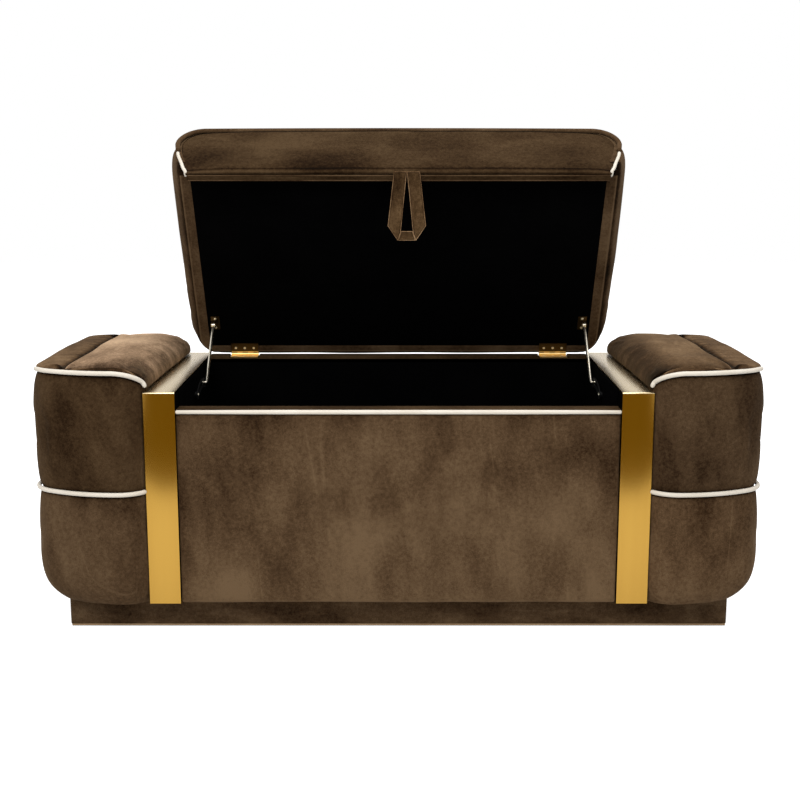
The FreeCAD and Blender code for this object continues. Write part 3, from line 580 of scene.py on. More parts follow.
# %% Lines
def resample(points, count, closed=False):
    """The same line with a new number of evenly spaced points."""
    points = [Vector(point) for point in points]
    if closed:
        points = points + points[:1]
    lengths = [0.0]
    for before, after in zip(points, points[1:]):
        lengths.append(lengths[-1] + (after - before).length)
    spans = count if closed else count - 1
    spaced = []
    at = 0
    for step in range(count):
        want = lengths[-1] * step / spans
        while at < len(points) - 2 and lengths[at + 1] < want:
            at += 1
        length = lengths[at + 1] - lengths[at]
        share = (want - lengths[at]) / length if length else 0.0
        spaced.append(points[at].lerp(points[at + 1], share))
    return spaced


def smooth_line(points, spans=8):
    """A smooth line through points, worked out span by span from each point's neighbours."""
    padded = [2 * points[0] - points[1]] + points + [2 * points[-1] - points[-2]]
    line = []
    for before, start, end, after in zip(padded, padded[1:], padded[2:], padded[3:]):
        square = 2 * before - 5 * start + 4 * end - after
        cube = 3 * start - before - 3 * end + after
        for step in range(spans):
            t = step / spans
            line.append(0.5 * (2 * start + (end - before) * t + square * t ** 2 + cube * t ** 3))
    return line + [points[-1]]


def whole_line(half):
    """A line from the right to the middle, carried on to the left as its mirror image."""
    return half + [Vector((-point.x, point.y, point.z)) for point in reversed(half[:-1])]


def eased_steps(length, count):
    """Steps from 0 to a length that start small, for a round end."""
    return [length * (1 - math.cos(math.pi / 2 * step / count)) for step in range(count + 1)]


# %% Rows and rings
cap_steps = 4


def face_rows(rows, count, first=0, closed=False):
    """The faces that join rows of as many points each, numbered from first on."""
    faces = []
    for row in range(rows - 1):
        here = first + row * count
        for column in range(count if closed else count - 1):
            after = (column + 1) % count
            faces.append((here + column, here + after, here + count + after, here + count + column))
    return faces


def join_rows(name, rows):
    """A sheet through rows of as many points each."""
    return new_piece(name, [point for row in rows for point in row], face_rows(len(rows), len(rows[0])))


def stack_rings(name, rings):
    """A closed mesh through rings of as many points each, with its seam group on the caps and end rings."""
    count = len(rings[0])

    def cap(ring):
        centre = sum(ring, Vector()) / count
        shares = [1 - step / cap_steps for step in range(1, cap_steps)]
        return [[centre.lerp(point, share) for point in ring] for share in shares], centre

    first_cap, first_centre = cap(rings[0])
    last_cap, last_centre = cap(rings[-1])
    stack = first_cap[::-1] + list(rings) + last_cap
    points = [point for ring in stack for point in ring] + [first_centre, last_centre]
    faces = face_rows(len(stack), count, closed=True)
    top = (len(stack) - 1) * count
    for column in range(count):
        after = (column + 1) % count
        faces.append((after, column, len(points) - 2))
        faces.append((top + column, top + after, len(points) - 1))
    piece = new_piece(name, points, faces)
    tidy_normals(piece)
    pinned = list(range((len(first_cap) + 1) * count))
    pinned += list(range((len(stack) - len(last_cap) - 1) * count, len(points)))
    piece.vertex_groups.new(name="seam").add(pinned, 1.0, "REPLACE")
    return piece


# %% [markdown]
# A pad swells against its seams, which a short cloth simulation with pressure gives: the seam group is held,
# gravity is off, and each point's move is capped so that the pad keeps its size. Small ripples then take
# away the evenness, and painted_light_and_streaks stores painted shade and highlights, where the velvet is
# drawn darker or lighter.

# %% Swelling
cloth_frames = 20
cloth_pressure = 3.0


def plump(piece, most):
    """Blows the pad up against its seams as cloth, then caps how far each point may move."""
    before = [vertex.co.copy() for vertex in piece.data.vertices]
    pick_only(piece)
    cloth = piece.modifiers.new("cloth", "CLOTH")
    cloth.settings.vertex_group_mass = "seam"
    cloth.settings.use_pressure = True
    cloth.settings.uniform_pressure_force = cloth_pressure
    cloth.settings.effector_weights.gravity = 0
    cloth.settings.tension_stiffness = 20
    cloth.settings.compression_stiffness = 20
    cloth.settings.bending_stiffness = 2.0
    cloth.settings.quality = 4
    cloth.collision_settings.use_collision = False
    cloth.point_cache.frame_start = 1
    cloth.point_cache.frame_end = cloth_frames
    for step in range(1, cloth_frames + 1):
        scene.frame_set(step)
    bpy.ops.object.modifier_apply(modifier=cloth.name)
    scene.frame_set(1)
    for vertex, start in zip(piece.data.vertices, before):
        move = vertex.co - start
        if move.length > most:
            vertex.co = start + move * (most / move.length)


def pin_below(piece, height):
    """Holds the points below a height too, so that a seat stays flat."""
    seat = [vertex.index for vertex in piece.data.vertices if vertex.co.z < height]
    piece.vertex_groups["seam"].add(seat, 1.0, "REPLACE")


# %% Ripples and painted light and shade
def ripple(piece, amount, size, seed):
    """Moves the surface in and out a little, so that no pad is perfectly even."""
    shift = Vector((seed, 2.3 * seed, -1.7 * seed))
    normals = [vertex.normal.copy() for vertex in piece.data.vertices]
    for vertex, normal in zip(piece.data.vertices, normals):
        vertex.co += normal * amount * noise.noise(vertex.co / size + shift)


def paint_light_and_streaks(piece, tone_at):
    """Stores painted light and shade, with the pillows' streaks, at each point, from a function of the point."""
    layer = piece.data.attributes.new("painted_light_and_streaks", "FLOAT", "POINT")
    layer.data.foreach_set("value", [tone_at(vertex.co) for vertex in piece.data.vertices])


def near_seam(distance, reach):
    """1 at a seam, falling to 0 at the given distance from it."""
    return max(0.0, 1 - abs(distance) / reach) ** 2


def ease(value, low, high):
    """0 below low, 1 above high and a smooth step between."""
    share = min(max((value - low) / (high - low), 0.0), 1.0)
    return share * share * (3 - 2 * share)


# %% [markdown]
# ## Arm pads
# Each arm is foam over boards, covered in two velvet panels that meet at a belt of piping. Seen from above,
# the outline leaves the band, swells to the front and turns into the side through two arcs. The panels are
# pulled in at the seams and full between them, so each ring of the stack is that outline, drawn in by the
# right amount.

# %% Arm outline
arm_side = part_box("right_arm_upper_pad")[1].x
arm_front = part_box("right_arm_lower_pad")[0].y
band_gap = 0.0003
nose_offset = 0.0425
corner_y, back_corner_y = 0.150, 0.190


def arc_line(centre, radius, start, end, count=24):
    turns = [start + (end - start) * step / count for step in range(count + 1)]
    return [Vector((centre[0] + radius * math.cos(turn), centre[1] + radius * math.sin(turn), 0))
            for turn in turns]


def arm_half(front_in, side_in, side_y):
    """Half of the right arm's outline in plan, from its front root at the band to its side."""
    root = Vector((band_out + band_gap, front_y + front_in))
    nose = Vector((band_out + nose_offset, arm_front + front_in))
    side = Vector((arm_side - side_in, -side_y))
    across, rise = nose.x - root.x, root.y - nose.y
    shoulder = (across ** 2 + rise ** 2) / (2 * rise)
    wide, deep = side.x - nose.x, side.y - nose.y
    diagonal = math.hypot(wide, deep)
    tight = (diagonal ** 2 - (wide - deep) * diagonal) / (2 * wide)
    full = (diagonal ** 2 + (wide - deep) * diagonal) / (2 * deep)
    shoulder_centre = (nose.x, nose.y + shoulder)
    full_centre = (nose.x, nose.y + full)
    tight_centre = (side.x - tight, side.y)
    start = math.atan2(root.y - shoulder_centre[1], root.x - shoulder_centre[0])
    turn = math.atan2(tight_centre[1] - full_centre[1], tight_centre[0] - full_centre[0])
    line = arc_line(shoulder_centre, shoulder, start, -math.pi / 2)
    line += arc_line(full_centre, full, -math.pi / 2, turn)[1:]
    return line + arc_line(tight_centre, tight, turn, 0)[1:]


def arm_plan(front_in, side_in):
    """The whole outline, round the outside to the back root. The back corner is the squarer one."""
    back = arm_half(front_in, side_in, back_corner_y)
    front = arm_half(front_in, side_in, corner_y)
    return front + [Vector((point.x, -point.y, 0)) for point in reversed(back)]


print("arm from", round(band_out, 4), "to", round(arm_side, 4), "front at", round(arm_front, 4))

# %% Top seam and rings of the arm
belt_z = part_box("right_arm_lower_pad")[1].z
seam_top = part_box("right_arm_border")[0].z + 0.0035
roll_over, roll_width = 0.004, 0.052
roll_end = band_top + 0.0060
back_fall = 0.006
outline_points, inner_points = 150, 44


def top_fall(y):
    """How much lower the arm's top is towards the back."""
    return back_fall * ease(y, 0.0, 0.2)


def roll_height(point):
    """The arm's top seam: rolled down to the band along the inner edge, and a little lower at the back."""
    share = min(max((band_out - roll_over + roll_width - point.x) / roll_width, 0.0), 1.0)
    return roll_end + (seam_top - top_fall(point.y) - roll_end) * math.sqrt(1 - share ** 2)


def arm_ring(front_in, side_in, height):
    """One closed ring round the arm, with its height given by a function of the point."""
    outside = resample(arm_plan(front_in, side_in), outline_points)
    back_root, front_root = outside[-1], outside[0]
    inside = [back_root.lerp(front_root, step / (inner_points + 1)) for step in range(1, inner_points + 1)]
    return [Vector((point.x, point.y, height(point))) for point in outside + inside]


# %% Arm pads: how far each level is drawn in
belt_draw, top_draw, seam_tuck = 0.006, 0.009, 0.003
foot_draw_front, foot_draw_side = 0.018, 0.038


def lower_level(share):
    """How far the lower panel is drawn in at the front and the side, from its foot to the belt."""
    foot = (1 - share) ** 9
    seam = belt_draw * share ** 6 + seam_tuck * share ** 30
    return foot_draw_front * foot + seam, foot_draw_side * foot + seam


def upper_level(share):
    """How far the upper panel is drawn in, from the belt to the top seam."""
    draw = top_draw if share > 0.5 else belt_draw
    off_middle = abs(2 * share - 1)
    seam = draw * off_middle ** 3 + seam_tuck * off_middle ** 16
    return seam, seam


# %% Arm pads: shape
pad_levels = 30
sewn_under = 0.007


def make_arm_pad(name, level, bottom, top, upper):
    """A panel's pad. Both are sewn under at the belt, and the upper one is folded in below its top seam."""
    def ring(share, inset=0.0):
        front_in, side_in = level(share)
        return arm_ring(front_in + inset, side_in + inset,
                        lambda point: bottom + (top(point) - bottom) * share)

    shares = [(1 - math.cos(math.pi * step / pad_levels)) / 2 for step in range(pad_levels + 1)]
    rings = [ring(share) for share in shares]
    if upper:
        rings.insert(0, ring(0.0, sewn_under))
        rings.insert(-1, ring(1.0, sewn_under))
    else:
        rings.append(ring(1.0, sewn_under))
    return stack_rings(name, rings)


lower_pad = make_arm_pad("right_lower_pad", lower_level, base_z, lambda point: belt_z, upper=False)
upper_pad = make_arm_pad("right_upper_pad", upper_level, belt_z, roll_height, upper=True)
for pad, seed in ((lower_pad, 1.0), (upper_pad, 4.0)):
    plump(pad, 0.0025)
    subdivide_once(pad)
    ripple(pad, 0.0010, 0.09, seed)
    ripple(pad, 0.0004, 0.03, seed)


# %% Arm pads: seams and covers
def lower_tone(point):
    """Painted shade: darker towards the belt, with a black line of painted shadow close under it."""
    below = belt_z - point.z
    return -0.30 * near_seam(below, 0.014) - 0.4 * near_seam(below - 0.0045, 0.004)


def upper_tone(point):
    """Painted shade: darker towards both pipings, with a black line of painted shadow close under the top one."""
    below = roll_height(point) - point.z
    return (-0.22 * near_seam(point.z - belt_z, 0.012) - 0.34 * near_seam(below, 0.022)
            - 0.5 * near_seam(below - 0.0065, 0.0045))


lower_covers = {"right_": right_lower_velvet, "left_": left_lower_velvet}
upper_covers = {"right_": right_upper_velvet, "left_": left_upper_velvet}
for pad, node, pad_tone, covers in ((lower_pad, "arm_lower_pad", lower_tone, lower_covers),
                                    (upper_pad, "arm_upper_pad", upper_tone, upper_covers)):
    paint_light_and_streaks(pad, pad_tone)
    for piece, side in both_sides(pad):
        dress(piece, "bench", covers[side], "velvet", side + node, fill=0.9)

# %% [markdown]
# ## Arm border
# On top of the arm a flat border runs round the outside. It is a strip between the arm's outline and the
# pillow's outline, crowned across and gathered in small folds where it dives in beside the pillow. Each row
# of the sheet is one line across that strip, so its crown and its dive can change along the arm.

# %% Border edge and folds
border_width, border_front = 0.057, 0.023
pillow_corner = 0.012
tuck_x = arm_side - top_draw - border_width
tuck_front = arm_front + border_front
tuck_back = -tuck_front


def pillow_edge(point):
    """The nearest point on the pillow's outline, a rectangle with small round corners."""
    inner = Vector((min(point.x, tuck_x - pillow_corner),
                    max(min(point.y, tuck_back - pillow_corner), tuck_front + pillow_corner), 0))
    away = point - inner
    if away.length < pillow_corner:
        return Vector((point.x, point.y, 0))
    return inner + away * (pillow_corner / away.length)


def fold_wave(y, inside):
    """Folds across the border: uneven in strength and spacing, slanting as they run out from the crease."""
    strength = 0.45 + 0.9 * noise.noise(Vector((y / 0.045, 0.3, 2.1)))
    phase = y / 0.0047 + 2.4 * math.sin(y / 0.041) + inside / 0.018
    return min(max(strength, 0.0), 1.0) * math.sin(phase)


# %% Border rows
border_draw = 0.0085
border_steps = 22
full_width = 0.020
flat_crown, rear_crown, front_crown = 0.0004, 0.0026, 0.0062
crease_depth, front_less, rear_less = 0.017, 0.013, 0.009
fold_rise = 0.0020


def border_row(point):
    """One line across the border: it starts over the piping, crowns a little and dives in by the pillow."""
    edge = pillow_edge(point)
    width = max((edge - point).length, 0.0005)
    size = min(width / full_width, 1.0)
    ahead = 1 - ease(point.y, -0.205, -0.165)
    crown = (flat_crown + rear_crown * ease(point.y, -0.10, 0.2) + front_crown * ahead) * size
    dive = (crease_depth - front_less * ahead - rear_less * ease(point.y, 0.18, 0.215)) * size
    gather = fold_rise * fold_wave(point.y, 0.0) * (1 - ahead) * size
    shape = [(0.0040 * size, -0.003), (0.0, 0.0), (0.0012 * size, 0.55 * crown),
             (0.006 * size, 0.85 * crown), (0.36 * width, 1.1 * crown), (0.62 * width, 0.75 * crown),
             (0.82 * width, -0.12 * dive + gather), (0.93 * width, -0.45 * dive - gather),
             (width - 0.001 * size, -0.8 * dive), (width, -dive)]
    line = smooth_line([Vector((reach, 0, height)) for reach, height in shape])
    row = []
    for across in resample(line, border_steps + 1):
        at = point.lerp(edge, across.x / width)
        row.append((at.x, at.y, roll_height(at) + across.z))
    return row


# %% Arm border
border_line = resample(arm_plan(border_draw, border_draw), outline_points * 2)
border = join_rows("right_border", [border_row(point) for point in border_line])
thicken(border, 0.002)
subdivide_once(border)
ripple(border, 0.0008, 0.05, 2.0)


def border_tone(point):
    """Painted shade in the crease by the pillow, painted light and shade on the folds, and at the front a darker
    strip with one painted highlight line.
    """
    level = Vector((point.x, point.y, 0))
    inside = (pillow_edge(level) - level).length
    if point.y < tuck_front:
        return 0.50 * near_seam(inside - 0.0060, 0.004) - 0.30
    fold = fold_wave(point.y, inside) * (0.25 + 0.75 * near_seam(inside, 0.050))
    return 0.26 * fold - 1.4 * near_seam(inside, 0.018) - 0.22 * near_seam(inside, 0.04)


paint_light_and_streaks(border, border_tone)
for piece, side in both_sides(border):
    dress(piece, "bench", border_velvet, "velvet", side + "arm_border", fill=0.6)

# %% [markdown]
# ## Arm pillow
# Inside the border lies a loose pillow that rolls over the inner edge of the arm, down to the band. It is a
# stack of cross-sections from front to back, with round ends, and it is held flat where it lies on the arm.

# %% Pillow sections
pillow_seat = band_top + 0.0005
pillow_crest = 0.4535
pillow_side_z = 0.424
pillow_points, pillow_seat_steps = 110, 20


def pillow_ring(y, drop, overhang):
    """A cross-section of the pillow: a low crown that rolls over the inner edge, on a flat seat."""
    crest = pillow_crest - drop
    over = band_out - overhang
    shape = [(tuck_x - 0.004, pillow_seat), (tuck_x - 0.002, pillow_side_z),
             (tuck_x - 0.0015, crest - 0.011), (tuck_x - 0.0022, crest - 0.0045),
             (tuck_x - 0.0050, crest - 0.0012), (tuck_x - 0.012, crest - 0.0008)]
    roll = ((0.062, 1.0), (0.045, 0.965), (0.030, 0.905), (0.016, 0.80), (0.0067, 0.65), (0.0012, 0.43),
            (0.0, 0.22), (0.0, 0.08), (0.004, 0.0))
    shape += [(over + reach, pillow_seat + (crest - pillow_seat) * share) for reach, share in roll]
    line = smooth_line([Vector((x, y, z)) for x, z in shape])
    seat = [line[-1].lerp(line[0], step / pillow_seat_steps) for step in range(1, pillow_seat_steps)]
    return resample(line + seat, pillow_points, closed=True)


# %% Pillow from front to back
pillow_end_round, pillow_end_drop = 0.024, 0.0045
pillow_middle_steps = 44
overhang_growth = 0.0105
recess_start, recess_reach = 0.0135, 0.06


def root_recess(x):
    """How far the pillow's ends draw back where the arm's outline turns in towards the band."""
    rise = front_y - arm_front
    radius = (nose_offset ** 2 + rise ** 2) / (2 * rise)
    across = min(max(band_out + nose_offset - x, 0.0), nose_offset)
    return max(0.0, radius - math.sqrt(radius ** 2 - across ** 2) - border_front + recess_start)


def make_pillow():
    """The sections from front to back: lower and rounder at both ends, rolling further over at the back."""
    ends = eased_steps(pillow_end_round, 9)
    run = tuck_back - tuck_front
    straight = run - 2 * pillow_end_round
    middle = [pillow_end_round + straight * step / pillow_middle_steps
              for step in range(1, pillow_middle_steps)]
    rings = []
    for place in ends + middle + [run - end for end in reversed(ends)]:
        near = min(place, run - place)
        fullness = math.sqrt(max(0.0, 1 - (1 - min(near / pillow_end_round, 1)) ** 2))
        y = tuck_front + place
        drop = pillow_end_drop * (1 - fullness) + top_fall(y)
        ring = pillow_ring(y, drop, roll_over + overhang_growth * place / run - 0.001 * (1 - fullness))
        inward = max(0.0, 1 - near / recess_reach) * (1 if y < 0 else -1)
        for point in ring:
            point.y += inward * root_recess(point.x)
        rings.append(ring)
    return stack_rings("right_pillow", rings)


# %% Arm pillow
pleat_top, pleat_depth, pleat_width = 0.024, 0.0009, 0.011
pillow = make_pillow()
pin_below(pillow, pillow_seat + 0.001)
plump(pillow, 0.003)
subdivide_once(pillow)
ripple(pillow, 0.0012, 0.06, 7.0)
for vertex in pillow.data.vertices:
    low = max(0.0, 1 - (vertex.co.z - pillow_seat) / pleat_top)
    if vertex.co.x < band_out + 0.02 and low < 1:
        pleat = noise.noise(Vector((vertex.co.y / pleat_width, 0.5, vertex.co.z / 0.06)))
        vertex.co.x += pleat_depth * low * pleat


def pillow_tone(point):
    """A painted highlight by the border, painted shade on the front roll, the inner edge and where it lies on the
    band, and streaks of the pile.
    """
    from_edge = tuck_x - point.x
    edge = 0.40 * near_seam(from_edge - 0.0040, 0.0036) - 0.12 * near_seam(from_edge - 0.012, 0.009)
    front = -0.20 * near_seam(point.y - tuck_front - 0.004, 0.060) + 0.12 * ease(point.y, -0.15, 0.05)
    inner = -0.26 * (1 - ease(point.x, band_out - 0.01, band_out + 0.055))
    streak = 0.16 * noise.noise(Vector((point.x / 0.09, point.y / 0.016, 1.7)))
    streak *= 1 - ease(point.x, band_out, 0.45)
    return edge + front + inner + streak - 0.45 * near_seam(point.z - pillow_seat, 0.006)


paint_light_and_streaks(pillow, pillow_tone)
pillow_covers = {"right_": pillow_velvet, "left_": lit_pillow_velvet}
for piece, side in both_sides(pillow):
    dress(piece, "bench", pillow_covers[side], "velvet", side + "arm_pillow", fill=0.8)


# %% [markdown]
# ## Chest panels
# The front and back of the chest are thin pads between the two bands, with soft edges. A bevelled block would
# do for the edges, but the face has to swell evenly, so the panel is a few rectangles, one inside the other
# towards the face, closed by two grids. The outer grid is pushed out towards its middle.

# %% Panel helper
panel_columns, panel_rows = 96, 42
panel_edge = ((0.0, 0.0), (0.45, 0.0), (0.75, 0.0007), (0.9, 0.002), (1.0, 0.006))


def make_panel(name, low, high, face_y, swell):
    """A pad with rounded edges whose outer face swells. face_y says which side is the outer one."""
    size, middle = high - low, (high + low) / 2
    outward = 1 if face_y > middle.y else -1

    def place(u, v, y, inset):
        return Vector((middle.x + u * (size.x / 2 - inset), y, middle.z + v * (size.z / 2 - inset)))

    along = [-1 + 2 * step / panel_columns for step in range(panel_columns + 1)]
    up = [-1 + 2 * step / panel_rows for step in range(panel_rows + 1)]
    around = [(u, -1) for u in along[:-1]] + [(1, v) for v in up[:-1]]
    around += [(-u, 1) for u in along[:-1]] + [(-1, -v) for v in up[:-1]]
    levels = [(face_y - outward * size.y * (1 - depth), inset) for depth, inset in panel_edge]
    points = [place(u, v, y, inset) for y, inset in levels for u, v in around]
    faces = face_rows(len(levels), len(around), closed=True)
    for (y, inset), fullness in ((levels[0], 0.0), (levels[-1], swell)):
        faces += face_rows(len(up), len(along), first=len(points))
        for v in up:
            for u in along:
                out = fullness * (1 - u ** 4) * (1 - v ** 4)
                points.append(place(u, v, y + outward * out, inset))
    piece = new_piece(name, points, faces)
    edit_all(piece)
    bpy.ops.mesh.remove_doubles(threshold=0.0001)
    bpy.ops.mesh.normals_make_consistent(inside=False)
    leave_edit()
    return piece


# %% Chest panels
def panel_tone(point):
    """Painted light and shade: darker at the sides and under the piping, lighter low in the middle, and a painted
    highlight along the lower edge.
    """
    side = near_seam(panel_half - abs(point.x), 0.12)
    below = front_rim - point.z
    hem = near_seam(point.z - base_z - 0.0035, 0.0035)
    return 0.13 * ease(below, 0.06, 0.30) - 0.12 * side - 0.16 * near_seam(below, 0.05) + 0.20 * hem


back_thick = 0.008
front_low, front_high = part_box("front_pad")
front_high.z = front_rim - 2 * piping_radius
back_low, back_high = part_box("back_pad")
back_low.y, back_high.y = back_y - back_thick, back_y
front_panel = make_panel("front_panel", front_low, front_high, front_y, 0.003)
back_panel = make_panel("back_panel", back_low, back_high, back_y, 0.002)
for panel, node, seed in ((front_panel, "front_pad", 3.0), (back_panel, "back_pad", 6.0)):
    subdivide_once(panel)
    ripple(panel, 0.0009, 0.08, seed)
    paint_light_and_streaks(panel, panel_tone)
    dress(panel, "bench", panel_velvet, "velvet", node, fill=0.7)


# %% [markdown]
# ## Rims of the well
# Velvet is turned over the top edges of the front and back boards. At the back it is raised between the
# hinges and sinks under their leaves. Each rim is a block with bevelled edges, as a folded cover has.

# %% Rims of the well
def block(name, low, high):
    """A cube at its size and place."""
    bpy.ops.object.select_all(action="DESELECT")
    bpy.ops.mesh.primitive_cube_add(size=1, location=(low + high) / 2)
    piece = bpy.context.object
    piece.name = name
    piece.scale = high - low
    bpy.ops.object.transform_apply(location=True, rotation=True, scale=True)
    return piece


def rounded_bar(name, low, high, radius, segments=4):
    """A bar with rounded edges."""
    bar = block(name, Vector(low), Vector(high))
    edit_all(bar)
    bpy.ops.mesh.bevel(offset=radius, segments=segments, affect="EDGES")
    leave_edit()
    return bar


leaf_low, leaf_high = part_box("right_hinge_base_leaf")
leaf_room = 0.001
gap_in, gap_out = leaf_low.x - leaf_room, leaf_high.x + leaf_room
rim_rise, back_rim_deep, front_rim_deep = 0.0038, 0.012, 0.010
rim_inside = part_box("back_pad")[0].y
for name, left, right, rise in (("back_rim", -panel_half, panel_half, 0.0),
                                ("back_rim_left", -panel_half, -gap_out, rim_rise),
                                ("back_rim_middle", -gap_in, gap_in, rim_rise),
                                ("back_rim_right", gap_out, panel_half, rim_rise)):
    rim = rounded_bar(name, (left, rim_inside, back_rim - back_rim_deep),
                      (right, back_y - 0.001, back_rim + rise), 0.003)
    dress(rim, "bench", lid_velvet, "velvet", fill=0.5)
rim = rounded_bar("front_rim", (-panel_half, front_y + 2 * piping_radius, front_rim - front_rim_deep),
                  (panel_half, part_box("lining_floor")[0].y, front_rim), 0.002)
dress(rim, "bench", lid_velvet, "velvet", fill=0.4)

# %% [markdown]
# ## Plinth and dust cover
# The plinth is a low frame under the chest, wrapped in velvet: a block with rounded edges and finer faces.
# Underneath, black cloth is stretched across it. That is a sheet which bows up a little in the middle, so
# that it lies clear of the floor.

# %% Plinth skirt
skirt = rounded_bar("plinth_skirt", *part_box("plinth_cover"), 0.003)
edit_all(skirt)
bpy.ops.mesh.subdivide(number_cuts=3)
leave_edit()
dress(skirt, "bench", plinth_velvet, "velvet", "plinth_cover", fill=0.3)

# %% Dust cover
cover_low, cover_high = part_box("dust_cover")
cover_width, cover_length = cover_high.x - cover_low.x, cover_high.y - cover_low.y
cover_columns, cover_rows = 60, 24
cover_lift, cover_bow = 0.0006, 0.0008


def cover_point(across, along):
    bow = cover_bow * math.sin(math.pi * along) * math.sin(math.pi * across)
    return Vector((cover_low.x + cover_width * across, cover_low.y + cover_length * along,
                   cover_low.z + cover_lift + bow))


dust_cover = join_rows("dust_cover_cloth", [
    [cover_point(column / cover_columns, row / cover_rows) for column in range(cover_columns + 1)]
    for row in range(cover_rows + 1)])
thicken(dust_cover, 0.0008, offset=0)
dress(dust_cover, "bench", lining_black, "lining", "dust_cover")


# %% [markdown]
# ## Lid cushion
# The lid is built shut and then turned open with the hinge's own angle. Its cushion is a stack of
# cross-sections from front to back: flat below, full at the sides, round at the shoulders and a low crown. It
# could be a swollen block, but then the shoulder, which the piping follows, would have no rows of its own.

# %% Lid sizes
lid_under = hinge.z + 0.0033
lid_half = band_in + 0.0225
lid_top = lid_under + 0.1015
lid_rear = hinge.y + 0.001
lid_shoulder = 0.046
front_round, rear_round, crown_round = 0.050, 0.038, 0.062
front_narrow, rear_fall = 0.003, 0.026
belly_least, belly_more = 0.006, 0.009
crown_flat, crown_full = 0.002, 0.010


def roundness(distance, reach):
    """0 at an edge, rising along a quarter ellipse to 1 at the given distance from it."""
    share = min(max(distance, 0.0) / reach, 1.0)
    return math.sqrt(1 - (1 - share) ** 2)


def lid_side(y):
    """Key points up the right-hand side of one cross-section, and its crown."""
    ahead, behind = y - front_y, lid_rear - y
    front, rear = roundness(ahead, front_round), roundness(behind, rear_round)
    half = lid_half - front_narrow * (1 - front) - rear_round * (1 - rear)
    belly = (belly_least + belly_more * front) * (0.3 + 0.7 * rear)
    top = lid_top - rear_fall * (1 - rear)
    crown = top + crown_flat + crown_full * roundness(ahead, crown_round) * roundness(behind, crown_round)
    low = Vector((half + 0.8 * belly, y, top - lid_shoulder))
    foot = Vector((half, y, lid_under + 0.0015))
    side = Vector((half + belly, y, (foot.z + low.z) / 2 + belly))
    return foot, side, low, crown


def lid_knee(y, turn):
    """A point on the shoulder's round, from 0 at its lower end to a right angle at its top."""
    low = lid_side(y)[2]
    return low + Vector((-lid_shoulder * (1 - math.cos(turn)), 0, lid_shoulder * math.sin(turn)))


def open_up(piece):
    """Turns a piece of the shut lid to where it stands open."""
    piece.data.transform(open_turn)
    return piece


print("lid", round(2 * lid_half, 3), "wide and", round(lid_rear - front_y, 3), "deep")

# %% Lid cushion
knee_steps, crown_steps, lid_seat_steps, lid_points = 12, 15, 40, 220
front_spacing, lid_middle_steps = 0.022, 46


def lid_ring(y):
    """One closed cross-section of the cushion."""
    foot, side, low, crown = lid_side(y)
    right = smooth_line([foot, side, low], 10)[:-1]
    right += [lid_knee(y, math.pi / 2 * step / knee_steps) for step in range(knee_steps + 1)]
    high = right[-1]
    for step in range(1, crown_steps + 1):
        left_over = 1 - step / crown_steps
        right.append(Vector((high.x * left_over, y, high.z + (crown - high.z) * (1 - left_over ** 2.4))))
    line = whole_line(right)
    seat = [line[-1].lerp(foot, step / lid_seat_steps) for step in range(1, lid_seat_steps)]
    return resample(line + seat, lid_points, closed=True)


lid_straight = lid_rear - front_y - front_spacing - rear_round
lid_places = [front_y + place for place in eased_steps(front_spacing, 6)]
lid_places += [front_y + (front_spacing + lid_straight * step / lid_middle_steps)
               for step in range(1, lid_middle_steps)]
lid_places += [lid_rear - place for place in reversed(eased_steps(rear_round, 8))]
cushion = stack_rings("lid_cushion_cover", [lid_ring(y) for y in lid_places])
pin_below(cushion, lid_under + 0.004)
plump(cushion, 0.004)
subdivide_once(cushion)
ripple(cushion, 0.0014, 0.10, 5.0)
# Painted shade along the cushion's lower edge, where it meets the lid's underside.
paint_light_and_streaks(cushion, lambda point: -0.50 * near_seam(point.z - lid_under - 0.001, 0.007))
dress(open_up(cushion), "lid", edge_velvet, "velvet", "lid_cushion", fill=0.9)

# %% [markdown]
# ## Lid front panel
# A separate velvet panel covers the lid's front, from the welt at the top edge down over the apron, which
# reaches below the lid's underside. It is one sheet inside the lid's outline, bulged and tucked back at its
# edges. Its part below the split, which goes down between the bands, is a piece of its own.

# %% Lid outline and welt line
apron_low = front_rim + 0.001
corner_x = band_in + 0.002
piping_end = 0.447
welt_radius, welt_proud = 0.0042, 0.0032
welt_rise = 0.002
tree_points = 300
shoulder_low = lid_side(front_y)[2]
lid_outline = smooth_line([Vector((corner_x, 0, apron_low)),
                           Vector((corner_x + 0.0078, 0, apron_low + 0.027)),
                           Vector((corner_x + 0.0168, 0, apron_low + 0.054)),
                           Vector((shoulder_low.x, 0, shoulder_low.z))])
for step in range(1, 25):
    knee = lid_knee(front_y, math.pi / 2 * step / 24)
    lid_outline.append(Vector((knee.x, 0, knee.z)))

welt_half = [Vector((point.x, front_y - welt_proud, point.z)) for point in resample(lid_outline, 90)
             if point.z > piping_end - 0.003]
welt_top = welt_half[-1]
for step in range(1, 21):
    share = 1 - step / 20
    welt_half.append(Vector((welt_top.x * share, welt_top.y, welt_top.z + welt_rise * (1 - share ** 2))))
welt_line = whole_line(welt_half)
welt_tree = kdtree.KDTree(tree_points)
for index, point in enumerate(resample(welt_line, tree_points)):
    welt_tree.insert((point.x, 0, point.z), index)
welt_tree.balance()
print("welt line", len(welt_line), "points, top at", round(welt_top.z, 4))

# %% Lid front panel: shape and tone
front_bulge, front_tuck = 0.006, 0.004
front_rows, front_columns = 60, 120


def front_point(edge, u, v):
    """A point of the panel between the outline's two sides, from -1 to 1 across and 0 to 1 up."""
    swell = (1 - abs(u) ** 6) * (1 - abs(2 * v - 1) ** 6)
    return Vector((u * edge.x, front_y + front_tuck - (front_bulge + front_tuck) * swell ** 0.5,
                   edge.z + welt_rise * (1 - u * u) * v ** 8))


